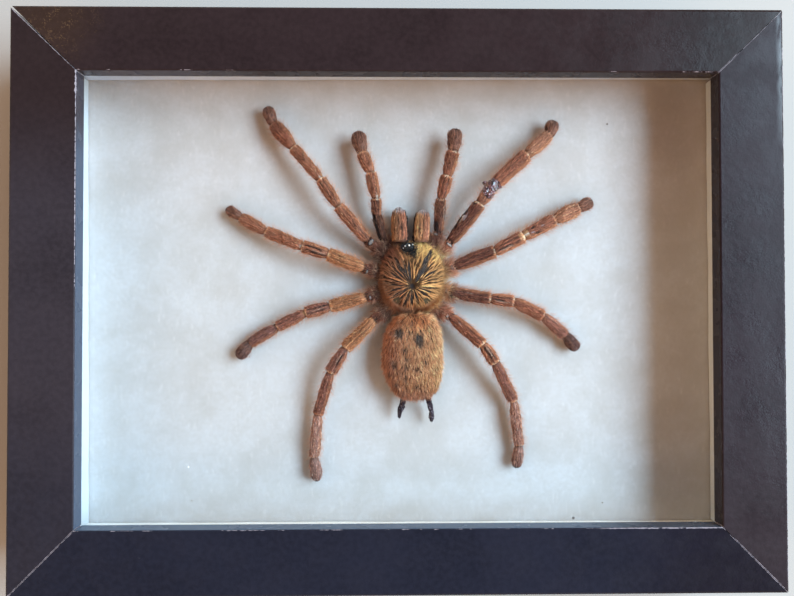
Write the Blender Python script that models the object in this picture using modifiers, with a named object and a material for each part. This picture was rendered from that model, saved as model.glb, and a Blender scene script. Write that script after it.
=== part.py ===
"""A dried tarantula fixed on pale paper in a small dark box frame behind glass.

The frame lies on its back. +Z points out through the glass, +Y towards the spider's head, and the
origin is the middle of the frame's back at the surface that it lies on. Sizes are in millimetres
here and become metres in each mesh.
"""

import math

import bmesh
import bpy

MM = 0.001
GAP = 0.3  # clearance between pieces that touch
WELD = 1e-6  # in metres, for points that fall on each other

# Box frame
OPENING_WIDTH = 170.0
OPENING_HEIGHT = 120.0
RAIL_WIDTH = 17.6
FRAME_DEPTH = 28.0
LIP_DEPTH = 4.2
LIP_WIDTH = 7.1
OUTER_EDGE_RADIUS = 0.9
INNER_EDGE_RADIUS = 0.5
BACK_CHAMFER = 0.4

# Layers behind the lip, from the front to the back
GLASS_THICKNESS = 2.0
LONG_LINER_THICKNESS = 2.3
SHORT_LINER_THICKNESS = 1.4
LINER_HEIGHT = 11.1
BOARD_THICKNESS = 2.5
PANEL_THICKNESS = 3.0

# Fittings on the back
CLIP_WIDTH = 7.0
CLIP_REACH = 12.0
CLIP_FOOT = 2.8
CLIP_THICKNESS = 0.5
CLIPS_ALONG = 45.0  # distance of a long rail's clips from its middle
CLIPS_ACROSS = 28.0  # the same on a short rail
HANGER_LENGTH = 46.0
HANGER_WIDTH = 9.0
HANGER_THICKNESS = 0.6
HANGER_LIFT = 1.3
HANGER_TEETH = 9
HANGER_FOOT = 5.0
HANGER_SLOPE = 2.0
HANGER_PLAIN_END = 9.0
HANGER_TOOTH_DEPTH = 1.4
HANGER_CORNER = 1.5
HANGER_BELOW_EDGE = 22.0
TACK_RADIUS = 1.7
TACK_HEIGHT = 0.7

# Body of the specimen: places are (x, y, height above the backing)
CARAPACE_CENTRE = (3.6, 6.65)
CARAPACE_HALF = (8.8, 9.65)
FOVEA = (3.6, 3.9)
CARAPACE_UNDERSIDE = 5.2
CARAPACE_MARGIN = 5.7
CARAPACE_RISE = 2.9
CARAPACE_FRONT_TAPER = 0.13
STERNUM_CENTRE = (3.8, 6.6)
STERNUM_HALF = (2.5, 3.5)
STERNUM_BOTTOM = 1.3
EYE_MOUND = (2.4, 14.7, 7.7)
EYE_MOUND_HALF = (2.0, 1.5, 1.3)
ABDOMEN_CENTRE = (3.7, -15.4, 5.3)
ABDOMEN_HALF = (8.4, 11.9, 4.7)
CHELICERA_BASES = {"left": (0.3, 16.9), "right": (6.0, 16.9)}
CHELICERA_TIPS = {"left": (-0.1, 26.6), "right": (6.75, 26.0)}
# share of the length, half width, middle height, half height
CHELICERA_SECTIONS = (
    (0.0, 2.1, 5.6, 2.0),
    (0.08, 2.4, 5.4, 2.4),
    (0.3, 2.5, 5.0, 2.7),
    (0.65, 2.45, 4.5, 2.6),
    (0.83, 2.1, 4.0, 2.1),
    (0.95, 1.35, 3.6, 1.3),
    (1.0, 0.7, 3.4, 0.6),
)
SPINNERETS = {
    "left": ((1.25, -27.9, 4.4), (0.9, -29.4, 4.2), (0.1, -31.8, 3.8), (-0.1, -34.2, 3.2)),
    "right": ((8.1, -27.2, 4.4), (8.4, -28.7, 4.3), (9.1, -31.3, 3.8), (9.3, -35.2, 3.2)),
}
SPINNERET_WIDTH = 1.5
GLUE_PAD_RADIUS = 3.2
GLUE_PAD_HEIGHT = 0.7
BEAD_CENTRE = (25.6, 31.3, 7.7)
BEAD_HALF = (2.6, 2.3, 2.0)

# Limbs: joints from the body outwards, and the width of each segment over its coat of short hair.
# A leg's segments are coxa, trochanter, femur, patella, tibia, metatarsus and tarsus. A palp has
# no metatarsus, and the left one bends once within its femur.
LIMBS = {
    "palp_left": (
        ((1.8, 13.2, 2.6), (-2.2, 15.0, 2.6), (-4.3, 17.1, 3.4), (-6.3, 23.7, 5.0),
         (-6.6, 28.9, 5.8), (-8.1, 36.2, 5.6), (-10.6, 42.1, 4.6), (-12.0, 48.7, 3.8)),
        (2.5, 2.4, 2.9, 2.9, 3.2, 3.4, 4.2),
    ),
    "palp_right": (
        ((5.8, 13.2, 2.6), (9.6, 15.4, 3.0), (11.1, 19.1, 4.4), (11.8, 28.7, 6.0),
         (13.6, 35.2, 5.9), (15.4, 42.4, 5.2), (16.2, 49.3, 4.8)),
        (2.5, 2.6, 3.0, 3.4, 3.6, 4.1),
    ),
    "leg_1_left": (
        ((0.2, 10.4, 3.0), (-5.6, 14.0, 3.4), (-8.7, 16.7, 4.6), (-17.2, 26.4, 7.4),
         (-22.2, 34.0, 7.0), (-30.1, 43.4, 5.2), (-36.0, 50.6, 3.6), (-38.1, 55.9, 3.0)),
        (2.9, 3.0, 3.4, 3.2, 3.1, 4.0, 3.4),
    ),
    "leg_2_left": (
        ((-0.6, 7.0, 3.0), (-6.6, 8.3, 3.4), (-9.7, 9.0, 4.6), (-20.1, 12.9, 6.6),
         (-27.3, 15.2, 6.2), (-38.0, 19.6, 4.2), (-45.4, 23.8, 2.8), (-49.9, 26.7, 2.4)),
        (2.9, 3.0, 3.9, 3.6, 3.3, 3.3, 2.9),
    ),
    "leg_3_left": (
        ((-0.6, 3.4, 3.0), (-6.2, 1.8, 3.4), (-9.1, 1.0, 4.4), (-19.6, -1.8, 5.6),
         (-26.6, -3.6, 5.2), (-34.8, -7.6, 3.6), (-42.9, -12.3, 2.4), (-46.4, -16.9, 2.2)),
        (2.9, 3.0, 3.6, 3.4, 3.1, 3.1, 3.5),
    ),
    "leg_4_left": (
        ((0.4, 0.2, 3.0), (-4.6, -3.2, 3.4), (-6.9, -5.2, 4.6), (-15.3, -13.6, 6.4),
         (-19.5, -20.4, 6.0), (-23.2, -32.6, 3.4), (-24.3, -45.0, 2.6), (-23.5, -52.2, 2.1)),
        (2.9, 3.0, 3.5, 3.4, 3.0, 3.0, 3.2),
    ),
    "leg_1_right": (
        ((7.4, 10.4, 3.0), (12.0, 13.8, 3.5), (14.4, 16.4, 4.8), (22.7, 27.1, 7.2),
         (26.3, 32.1, 7.0), (36.4, 41.3, 5.4), (43.3, 47.6, 3.6), (44.8, 52.2, 3.0)),
        (2.9, 3.0, 3.9, 3.4, 4.1, 3.7, 3.7),
    ),
    "leg_2_right": (
        ((8.2, 7.0, 3.0), (12.9, 8.6, 3.4), (15.6, 9.5, 4.6), (27.0, 13.8, 6.4),
         (35.2, 18.0, 6.0), (44.5, 23.0, 4.2), (51.9, 26.6, 2.8), (56.4, 28.8, 2.4)),
        (2.9, 3.0, 3.8, 3.6, 3.7, 4.1, 3.6),
    ),
    "leg_3_right": (
        ((8.2, 3.4, 3.0), (11.6, 2.8, 3.4), (14.0, 2.3, 4.4), (25.9, 0.4, 5.6),
         (32.5, -0.4, 5.2), (41.3, -4.6, 3.6), (48.0, -10.3, 2.4), (51.8, -14.6, 2.3)),
        (2.9, 3.0, 3.4, 3.4, 3.4, 3.2, 3.6),
    ),
    "leg_4_right": (
        ((7.2, 0.2, 3.0), (10.9, -2.4, 3.5), (14.4, -4.4, 4.6), (23.5, -12.5, 6.4),
         (27.1, -17.7, 6.0), (32.7, -29.0, 3.4), (34.4, -41.9, 2.6), (33.5, -48.6, 2.1)),
        (2.9, 3.1, 3.4, 3.4, 3.2, 2.9, 3.1),
    ),
}
# share of a segment's length and how full the limb is there
SEGMENT_SWELL = ((0.14, 0.96), (0.5, 1.0), (0.86, 0.97))
TIP_SWELL = ((0.14, 0.96), (0.5, 1.0), (0.82, 0.96), (0.95, 0.72), (1.0, 0.42))
JOINT_WAIST = 0.82

LIP_UNDERSIDE = FRAME_DEPTH - LIP_DEPTH
GLASS_TOP = LIP_UNDERSIDE - GAP
LINER_TOP = GLASS_TOP - GLASS_THICKNESS - GAP
BOARD_TOP = LINER_TOP - LINER_HEIGHT - GAP
PANEL_TOP = BOARD_TOP - BOARD_THICKNESS - GAP
PANEL_BACK = PANEL_TOP - PANEL_THICKNESS
FRAME_WIDTH = OPENING_WIDTH + 2 * RAIL_WIDTH
FRAME_HEIGHT = OPENING_HEIGHT + 2 * RAIL_WIDTH
POCKET_WIDTH = OPENING_WIDTH + 2 * LIP_WIDTH
POCKET_HEIGHT = OPENING_HEIGHT + 2 * LIP_WIDTH

MATERIALS = {
    # name: colour, roughness, metallic
    "frame_foil": ((0.035, 0.030, 0.036), 0.42, 0.0),
    "clear_glass": ((0.90, 0.95, 0.94), 0.03, 0.0),
    "liner_white": ((0.82, 0.84, 0.86), 0.70, 0.0),
    "mottled_paper": ((0.66, 0.68, 0.70), 0.85, 0.0),
    "hardboard": ((0.20, 0.11, 0.06), 0.75, 0.0),
    "bright_steel": ((0.58, 0.56, 0.52), 0.32, 1.0),
    "clear_glue": ((0.80, 0.74, 0.60), 0.25, 0.0),
    "carapace_hair": ((0.45, 0.27, 0.10), 0.70, 0.0),
    "abdomen_hair": ((0.44, 0.26, 0.13), 0.80, 0.0),
    "jaw_hair": ((0.36, 0.16, 0.07), 0.70, 0.0),
    "leg_hair": ((0.30, 0.14, 0.07), 0.70, 0.0),
    "spinneret_skin": ((0.05, 0.03, 0.04), 0.55, 0.0),
}


def clear_scene():
    for obj in list(bpy.data.objects):
        bpy.data.objects.remove(obj, do_unlink=True)


def make_collection(name):
    collection = bpy.data.collections.new(name)
    bpy.context.scene.collection.children.link(collection)
    return collection


def make_materials():
    for name, (colour, roughness, metallic) in MATERIALS.items():
        material = bpy.data.materials.new(name)
        material.use_nodes = True
        shader = material.node_tree.nodes["Principled BSDF"]
        shader.inputs["Base Color"].default_value = (*colour, 1.0)
        shader.inputs["Roughness"].default_value = roughness
        shader.inputs["Metallic"].default_value = metallic
        material.diffuse_color = (*colour, 1.0)
    glass = bpy.data.materials["clear_glass"].node_tree.nodes["Principled BSDF"]
    glass.inputs["Transmission Weight"].default_value = 1.0


def add_object(name, data, material, parent=None):
    obj = bpy.data.objects.new(name, data)
    data.materials.append(bpy.data.materials[material])
    obj.parent = parent
    PARTS.objects.link(obj)
    return obj


def mesh_from(bm, name, smooth=False):
    bmesh.ops.recalc_face_normals(bm, faces=bm.faces)
    mesh = bpy.data.meshes.new(name)
    bm.to_mesh(mesh)
    bm.free()
    if smooth:
        mesh.shade_smooth()
    return mesh


def close_and_face_outwards(mesh):
    """Welds loose caps on and turns the faces of a closed mesh outwards."""
    bm = bmesh.new()
    bm.from_mesh(mesh)
    bmesh.ops.remove_doubles(bm, verts=bm.verts, dist=WELD)
    bmesh.ops.recalc_face_normals(bm, faces=bm.faces)
    bm.to_mesh(mesh)
    bm.free()


def evaluated_mesh(obj):
    """The finished mesh of a curve object as plain, closed mesh data."""
    bpy.context.view_layer.update()
    graph = bpy.context.evaluated_depsgraph_get()
    mesh = bpy.data.meshes.new_from_object(obj.evaluated_get(graph))
    close_and_face_outwards(mesh)
    return mesh


def add_box(name, size, centre, material, bevel=0.0):
    """A block of the given size, its scale in the mesh so that the bevel stays even."""
    bm = bmesh.new()
    bmesh.ops.create_cube(bm, size=MM)
    bmesh.ops.scale(bm, vec=size, verts=bm.verts)
    obj = add_object(name, mesh_from(bm, name), material)
    obj.location = [value * MM for value in centre]
    if bevel:
        modifier = obj.modifiers.new("softened edges", "BEVEL")
        modifier.width = bevel * MM
        modifier.segments = 1
    return obj


def extruded_outline(name, points, length):
    """A flat closed outline drawn as a 2D curve and extruded to the given length along Z."""
    curve = bpy.data.curves.new(name, "CURVE")
    curve.dimensions = "2D"
    curve.fill_mode = "BOTH"
    curve.extrude = length * MM / 2
    spline = curve.splines.new("POLY")
    spline.points.add(len(points) - 1)
    for point, (across, along) in zip(spline.points, points):
        point.co = (across * MM, along * MM, 0.0, 1.0)
    spline.use_cyclic_u = True
    outline = bpy.data.objects.new(name + "_outline", curve)
    GUIDES.objects.link(outline)
    mesh = evaluated_mesh(outline)
    mesh.name = name
    bpy.data.objects.remove(outline, do_unlink=True)
    return mesh


def arc(centre, radius, start, end, steps):
    """Points on an arc, with the angles in degrees."""
    angles = [math.radians(start + (end - start) * i / steps) for i in range(steps + 1)]
    return [(centre[0] + radius * math.cos(a), centre[1] + radius * math.sin(a)) for a in angles]


def rail_section():
    """The rail's section: distance in from the outer edge, and height above the back."""
    wall = RAIL_WIDTH - LIP_WIDTH
    outer, inner = OUTER_EDGE_RADIUS, INNER_EDGE_RADIUS
    points = [(BACK_CHAMFER, 0.0), (0.0, BACK_CHAMFER)]
    points += arc((outer, FRAME_DEPTH - outer), outer, 180, 90, 4)
    points += arc((RAIL_WIDTH - inner, FRAME_DEPTH - inner), inner, 90, 0, 2)
    points += [(RAIL_WIDTH, LIP_UNDERSIDE), (wall, LIP_UNDERSIDE), (wall, 0.0)]
    return points


def add_rail(name, length, edge_distance, turn):
    """A rail along X with its outer edge on the -Y side, both ends mitred at 45 degrees, turned
    about Z to its side of the frame."""
    mesh = extruded_outline(name, rail_section(), 2.0)
    half = length / 2 - GAP / 2
    for vertex in mesh.vertices:
        inwards, height, end = vertex.co / MM
        along = math.copysign(half - inwards, end)
        vertex.co = (along * MM, (inwards - edge_distance) * MM, height * MM)
    close_and_face_outwards(mesh)
    rail = add_object(name, mesh, "frame_foil")
    rail.rotation_euler.z = math.radians(turn)
    return rail


def add_frame():
    add_rail("rail_bottom", FRAME_WIDTH, FRAME_HEIGHT / 2, 0)
    add_rail("rail_right", FRAME_HEIGHT, FRAME_WIDTH / 2, 90)
    add_rail("rail_top", FRAME_WIDTH, FRAME_HEIGHT / 2, 180)
    add_rail("rail_left", FRAME_HEIGHT, FRAME_WIDTH / 2, 270)


def add_layers():
    """The pane, the four liner strips, the papered board and the back panel."""
    width = POCKET_WIDTH - 2 * GAP
    height = POCKET_HEIGHT - 2 * GAP
    add_box("glass", (width, height, GLASS_THICKNESS), (0, 0, GLASS_TOP - GLASS_THICKNESS / 2), "clear_glass")
    middle = LINER_TOP - LINER_HEIGHT / 2
    across = (width - SHORT_LINER_THICKNESS) / 2
    along = (height - LONG_LINER_THICKNESS) / 2
    side_length = height - 2 * (LONG_LINER_THICKNESS + GAP)
    for side, sign in (("top", 1), ("bottom", -1)):
        size = (width, LONG_LINER_THICKNESS, LINER_HEIGHT)
        add_box("liner_" + side, size, (0, sign * along, middle), "liner_white")
    for side, sign in (("left", -1), ("right", 1)):
        size = (SHORT_LINER_THICKNESS, side_length, LINER_HEIGHT)
        add_box("liner_" + side, size, (sign * across, 0, middle), "liner_white")
    board_middle = BOARD_TOP - BOARD_THICKNESS / 2
    add_box("backing_board", (width, height, BOARD_THICKNESS), (0, 0, board_middle), "mottled_paper")
    panel_middle = PANEL_TOP - PANEL_THICKNESS / 2
    add_box("back_panel", (width, height, PANEL_THICKNESS), (0, 0, panel_middle), "hardboard", bevel=0.4)


def clip_section():
    """A bent strip seen from its side: a foot down the rail's wall, then a blade over the panel."""
    top = PANEL_BACK - GAP
    foot = top - CLIP_FOOT
    inner = CLIP_THICKNESS
    return [
        (0.0, foot), (0.0, top), (CLIP_REACH, top), (CLIP_REACH + 0.2, top - CLIP_THICKNESS),
        (inner + 0.4, top - CLIP_THICKNESS), (inner, top - CLIP_THICKNESS - 0.4), (inner, foot),
    ]


def add_clips():
    """Two clips on each side, their feet against the pocket's wall."""
    places = []
    for turn, wall, offset in (
        (0, POCKET_HEIGHT / 2, CLIPS_ALONG),
        (90, POCKET_WIDTH / 2, CLIPS_ACROSS),
        (180, POCKET_HEIGHT / 2, CLIPS_ALONG),
        (270, POCKET_WIDTH / 2, CLIPS_ACROSS),
    ):
        places += [(turn, wall, -offset), (turn, wall, offset)]
    for number, (turn, wall, offset) in enumerate(places, start=1):
        name = f"clip_{number}"
        mesh = extruded_outline(name, clip_section(), CLIP_WIDTH)
        for vertex in mesh.vertices:
            inwards, height, sideways = vertex.co / MM
            vertex.co = ((sideways + offset) * MM, (inwards - wall + GAP) * MM, height * MM)
        close_and_face_outwards(mesh)
        clip = add_object(name, mesh, "bright_steel")
        clip.rotation_euler.z = math.radians(turn)


def add_hanger():
    """A steel strip toothed along its lower edge. Its ends lie on the panel, and its middle stands
    off it by the lift, to take a nail."""
    half = HANGER_LENGTH / 2
    toothed = half - HANGER_PLAIN_END
    raised = half - HANGER_FOOT - HANGER_SLOPE
    steps = 2 * HANGER_TEETH
    stations = [-half, -half + HANGER_FOOT, -raised]
    stations += [-toothed + 2 * toothed * i / steps for i in range(steps + 1)]
    stations += [raised, half - HANGER_FOOT, half]
    floor = PANEL_BACK - GAP - HANGER_THICKNESS / 2
    upper = HANGER_WIDTH / 2
    bm = bmesh.new()
    rows = []
    for x in stations:
        notch = abs(x) <= toothed and round((x + toothed) / (2 * toothed) * steps) % 2 == 0
        lower = -upper + (HANGER_TOOTH_DEPTH if notch else 0.0)
        corner = HANGER_CORNER if abs(x) == half else 0.0
        z = floor - (HANGER_LIFT if abs(x) <= raised else 0.0)
        ends = [(x, upper - corner, z), (x, lower + corner, z)]
        rows.append([bm.verts.new([value * MM for value in end]) for end in ends])
    for (a, b), (c, d) in zip(rows, rows[1:]):
        bm.faces.new((a, b, d, c))
    hanger = add_object("sawtooth_hanger", mesh_from(bm, "sawtooth_hanger"), "bright_steel")
    hanger.location.y = (FRAME_HEIGHT / 2 - HANGER_BELOW_EDGE) * MM
    plate = hanger.modifiers.new("plate thickness", "SOLIDIFY")
    plate.thickness = HANGER_THICKNESS * MM
    plate.offset = 0.0
    for side, sign in (("left", -1), ("right", 1)):
        bm = bmesh.new()
        bmesh.ops.create_cone(
            bm, cap_ends=True, segments=16, radius1=TACK_RADIUS * 0.55 * MM,
            radius2=TACK_RADIUS * MM, depth=TACK_HEIGHT * MM,
        )
        tack = add_object("hanger_tack_" + side, mesh_from(bm, "hanger_tack"), "bright_steel")
        below = floor - HANGER_THICKNESS / 2 - GAP - TACK_HEIGHT / 2
        tack.location = (sign * (half - HANGER_FOOT / 2) * MM, hanger.location.y, below * MM)


def power(value, exponent):
    return math.copysign(abs(value) ** exponent, value)


def carapace_outline(count):
    """The carapace's margin: a rounded barrel, narrower at the front."""
    ring = rounded_ring((0.0, 0.0), CARAPACE_HALF, CARAPACE_MARGIN, count, 2.45)
    outline = []
    for x, y, z in ring:
        front = max(0.0, y / CARAPACE_HALF[1])
        narrowed = x * (1 - CARAPACE_FRONT_TAPER * front**2)
        outline.append((CARAPACE_CENTRE[0] + narrowed, CARAPACE_CENTRE[1] + y, z))
    return outline


def rounded_ring(centre, half, height, count, squareness=2.6):
    """Points round a superellipse: between an ellipse, at 2, and a rectangle, at large values."""
    angles = [2 * math.pi * i / count for i in range(count)]
    share = 2 / squareness
    return [
        (
            centre[0] + half[0] * power(math.cos(a), share),
            centre[1] + half[1] * power(math.sin(a), share),
            height,
        )
        for a in angles
    ]


def loft(name, rings, first_pole, last_pole):
    """A closed skin over rings of equally many points, drawn to a point at each end."""
    bm = bmesh.new()
    count = len(rings[0])
    rows = [[bm.verts.new([value * MM for value in point]) for point in ring] for ring in rings]
    poles = [bm.verts.new([value * MM for value in pole]) for pole in (first_pole, last_pole)]
    for i in range(count):
        j = (i + 1) % count
        for lower, upper in zip(rows, rows[1:]):
            bm.faces.new((lower[i], lower[j], upper[j], upper[i]))
        bm.faces.new((poles[0], rows[0][j], rows[0][i]))
        bm.faces.new((poles[1], rows[-1][i], rows[-1][j]))
    return mesh_from(bm, name, smooth=True)


def carapace_height(share, angle, front):
    """Height of the carapace's top. share goes from 0 at the fovea to 1 at the margin, angle is
    taken round the fovea, and front is how far forward the point lies, from -1 to 1."""
    dome = (1 - share**2.6) ** 0.62
    head = 0.7 * max(0.0, front) * (1 - share**4)
    pit = 0.9 * math.exp(-((share / 0.12) ** 2))
    groove = 0.28 * (0.5 + 0.5 * math.cos(8 * angle)) * math.sin(math.pi * share)
    return CARAPACE_MARGIN + CARAPACE_RISE * dome + head - pit - groove


def add_carapace(place):
    """Sternum and carapace as one skin, from the sternum up, with the eye mound fused on."""
    count = 32
    margin = carapace_outline(count)
    sternum_low = [value * 0.8 for value in STERNUM_HALF]
    rings = [
        rounded_ring(STERNUM_CENTRE, sternum_low, STERNUM_BOTTOM, count),
        rounded_ring(STERNUM_CENTRE, STERNUM_HALF, STERNUM_BOTTOM + 0.5, count),
        rounded_ring(STERNUM_CENTRE, STERNUM_HALF, CARAPACE_UNDERSIDE - 0.3, count),
    ]
    rings.append([
        (FOVEA[0] + 0.97 * (x - FOVEA[0]), FOVEA[1] + 0.97 * (y - FOVEA[1]), CARAPACE_UNDERSIDE)
        for x, y, _ in margin
    ])
    rings.append(margin)
    for share in (0.96, 0.86, 0.72, 0.57, 0.42, 0.27, 0.13):
        ring = []
        for x, y, _ in margin:
            angle = math.atan2(y - FOVEA[1], x - FOVEA[0])
            front = share * (y - FOVEA[1]) / CARAPACE_HALF[1]
            height = carapace_height(share, angle, front)
            ring.append((FOVEA[0] + share * (x - FOVEA[0]), FOVEA[1] + share * (y - FOVEA[1]), height))
        rings.append(ring)
    top = (*FOVEA, carapace_height(0.0, math.pi / 8, 0.0))
    mesh = loft("carapace", rings, (*STERNUM_CENTRE, STERNUM_BOTTOM), top)
    carapace = add_object("carapace", mesh, "carapace_hair", place)
    bm = bmesh.new()
    bmesh.ops.create_uvsphere(bm, u_segments=16, v_segments=8, radius=MM)
    bmesh.ops.scale(bm, vec=EYE_MOUND_HALF, verts=bm.verts)
    fuse(carapace, mesh_from(bm, "eye_mound_form", smooth=True), EYE_MOUND, place)


def fuse(obj, mesh, centre, place):
    """Joins a small form to the solid that it grows from."""
    form = bpy.data.objects.new(mesh.name, mesh)
    form.parent = place
    form.location = [value * MM for value in centre]
    form.hide_render = True
    form.display_type = "WIRE"
    GUIDES.objects.link(form)
    union = obj.modifiers.new("fused " + mesh.name, "BOOLEAN")
    union.operation = "UNION"
    union.solver = "EXACT"
    union.object = form


def add_abdomen(place):
    """A long egg, blunt at both ends and flatter below than above."""
    bm = bmesh.new()
    bmesh.ops.create_uvsphere(bm, u_segments=24, v_segments=14, radius=1.0)
    for vertex in bm.verts:
        x, z, y = vertex.co  # the sphere's poles go to the two ends
        round_off = max(1e-9, 1 - y * y)
        fuller = (max(0.0, 1 - abs(y) ** 2.5) ** (1 / 2.5)) / math.sqrt(round_off)
        rearward = 1 - 0.06 * y
        lower = 0.94 if z < 0 else 1.0
        vertex.co = (
            x * fuller * rearward * ABDOMEN_HALF[0] * MM,
            y * ABDOMEN_HALF[1] * MM,
            z * fuller * lower * ABDOMEN_HALF[2] * MM,
        )
    abdomen = add_object("abdomen", mesh_from(bm, "abdomen", smooth=True), "abdomen_hair", place)
    abdomen.location = [value * MM for value in ABDOMEN_CENTRE]


def add_chelicera(side, place):
    """A jaw: rounded sections from its base under the carapace's edge to its hairy tip."""
    (base_x, base_y), (tip_x, tip_y) = CHELICERA_BASES[side], CHELICERA_TIPS[side]
    count = 16
    rings = []
    for share, half_width, middle, half_height in CHELICERA_SECTIONS:
        centre_x = base_x + share * (tip_x - base_x)
        y = base_y + share * (tip_y - base_y)
        section = rounded_ring((centre_x, middle), (half_width, half_height), y, count, 2.4)
        rings.append([(x, along, z) for x, z, along in section])
    first = (base_x, base_y - 0.3, CHELICERA_SECTIONS[0][2])
    last = (tip_x, tip_y + 0.2, CHELICERA_SECTIONS[-1][2])
    name = "chelicera_" + side
    add_object(name, loft(name, rings, first, last), "jaw_hair", place)


def limb_stations(joints, widths):
    """Points along a limb and the radius at each: full within a segment, waisted at a joint, and
    rounded off at the tip."""
    stations = [(joints[0], JOINT_WAIST * widths[0] / 2)]
    last = len(widths) - 1
    for i, width in enumerate(widths):
        start, end = joints[i], joints[i + 1]
        for share, swell in TIP_SWELL if i == last else SEGMENT_SWELL:
            point = [a + share * (b - a) for a, b in zip(start, end)]
            stations.append((point, swell * width / 2))
        if i < last:
            stations.append((end, JOINT_WAIST * (width + widths[i + 1]) / 4))
    return stations


def tube_curve(name, stations):
    """A round tube of changing radius through the stations, with closed ends and 8 sides."""
    curve = bpy.data.curves.new(name, "CURVE")
    curve.dimensions = "3D"
    curve.bevel_depth = MM
    curve.bevel_resolution = 2
    curve.use_fill_caps = True
    spline = curve.splines.new("POLY")
    spline.points.add(len(stations) - 1)
    for point, (place, radius) in zip(spline.points, stations):
        point.co = (*[value * MM for value in place], 1.0)
        point.radius = radius
    return curve


def add_limbs(place):
    for name, (joints, widths) in LIMBS.items():
        curve = tube_curve(name, limb_stations(joints, widths))
        limb = add_object(name, curve, "leg_hair", place)
        if name == "leg_1_right":
            add_resin_bead(limb, place)


def add_resin_bead(leg, place):
    """The hard bead of dried resin round the knee of one leg, fused with it."""
    name = leg.name
    mesh = evaluated_mesh(leg)
    bpy.data.objects.remove(leg, do_unlink=True)
    mesh.name = name
    mesh.materials.clear()
    mesh.shade_smooth()
    solid = add_object(name, mesh, "leg_hair", place)
    bm = bmesh.new()
    bmesh.ops.create_icosphere(bm, subdivisions=2, radius=MM)
    for vertex in bm.verts:
        x, y, z = vertex.co / MM
        lump = 1 + 0.12 * math.sin(5 * x + 1) * math.cos(4 * y) + 0.08 * math.sin(7 * z + 2 * x)
        vertex.co = [value * half * lump * MM for value, half in zip((x, y, z), BEAD_HALF)]
    fuse(solid, mesh_from(bm, "resin_bead_form", smooth=True), BEAD_CENTRE, place)


def add_spinnerets(place):
    for side, joints in SPINNERETS.items():
        widths = [SPINNERET_WIDTH * full for full in (1.0, 1.05, 0.9)]
        curve = tube_curve("spinneret_" + side, limb_stations(joints, widths))
        add_object("spinneret_" + side, curve, "spinneret_skin", place)


def add_glue_pad(place):
    """A flattened dab of glue between the sternum and the backing."""
    profile = ((0.0, GLUE_PAD_HEIGHT), (0.7, GLUE_PAD_HEIGHT * 0.9), (1.0, GLUE_PAD_HEIGHT * 0.4), (0.9, 0.0))
    count = 20
    rings = []
    for share, height in profile[:0:-1]:
        radius = share * GLUE_PAD_RADIUS
        rings.append(rounded_ring(STERNUM_CENTRE, (radius, radius), GAP + height, count, 2.0))
    low, high = (*STERNUM_CENTRE, GAP), (*STERNUM_CENTRE, GAP + GLUE_PAD_HEIGHT)
    add_object("glue_pad", loft("glue_pad", rings, low, high), "clear_glue", place)


def add_specimen():
    """The spider, on an empty that marks the face of the backing paper."""
    place = bpy.data.objects.new("backing_face", None)
    place.location.z = BOARD_TOP * MM
    PARTS.objects.link(place)
    add_carapace(place)
    add_abdomen(place)
    add_chelicera("left", place)
    add_chelicera("right", place)
    add_limbs(place)
    add_spinnerets(place)
    add_glue_pad(place)


clear_scene()
PARTS = make_collection("framed_tarantula_specimen")
GUIDES = make_collection("guides")
make_materials()
add_frame()
add_layers()
add_clips()
add_hanger()
add_specimen()
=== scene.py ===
"""The looks of a dried tarantula on mottled paper in a small dark box frame behind glass.

Everything is in the frame's own axes: it lies on its back, +Z points out through the glass and +Y
towards the spider's head. Shapes are worked out in millimetres and become metres in each mesh.
"""

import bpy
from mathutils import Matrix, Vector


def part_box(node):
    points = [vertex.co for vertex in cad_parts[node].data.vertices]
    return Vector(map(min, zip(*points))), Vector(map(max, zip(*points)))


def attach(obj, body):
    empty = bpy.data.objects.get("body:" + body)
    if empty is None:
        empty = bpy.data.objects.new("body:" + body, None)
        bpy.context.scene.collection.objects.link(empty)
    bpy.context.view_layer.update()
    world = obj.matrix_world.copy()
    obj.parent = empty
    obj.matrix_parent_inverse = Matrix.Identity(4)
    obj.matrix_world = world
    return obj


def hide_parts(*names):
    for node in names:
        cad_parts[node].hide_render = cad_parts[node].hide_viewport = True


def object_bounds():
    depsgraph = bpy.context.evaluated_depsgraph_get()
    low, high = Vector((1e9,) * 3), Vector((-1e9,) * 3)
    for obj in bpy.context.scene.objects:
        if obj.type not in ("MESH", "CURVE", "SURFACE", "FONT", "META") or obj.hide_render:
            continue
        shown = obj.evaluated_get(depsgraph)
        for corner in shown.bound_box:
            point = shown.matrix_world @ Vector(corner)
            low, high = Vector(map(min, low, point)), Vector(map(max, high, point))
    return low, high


bl_info = {
    "name": "Framed Tarantula Specimen",
    "version": (1, 0, 0),
    "blender": (4, 5, 0),
    "location": "3D View > Sidebar > Specimen",
    "description": "Builds a dried tarantula with its coat of hair, and the box frame that holds it",
    "category": "Add Mesh",
}

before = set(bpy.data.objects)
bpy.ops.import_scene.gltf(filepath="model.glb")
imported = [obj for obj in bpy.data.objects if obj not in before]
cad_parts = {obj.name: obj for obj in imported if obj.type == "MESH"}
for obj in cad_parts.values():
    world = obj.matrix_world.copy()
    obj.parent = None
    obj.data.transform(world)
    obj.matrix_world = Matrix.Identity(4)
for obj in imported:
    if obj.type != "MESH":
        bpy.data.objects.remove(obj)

import math

import bpy
import numpy as np
from mathutils import Quaternion, Vector

CAD_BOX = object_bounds()
MM = 0.001
BAKE_MAP = "OFBake"  # the UV map that a texture of the hairs' colours is laid out on
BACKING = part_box("backing_board")[1].z / MM  # height of the paper's face
FRAME_DEPTH = CAD_BOX[1].z / MM
FRAME_HALF = np.array(CAD_BOX[1])[:2] / MM

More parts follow.
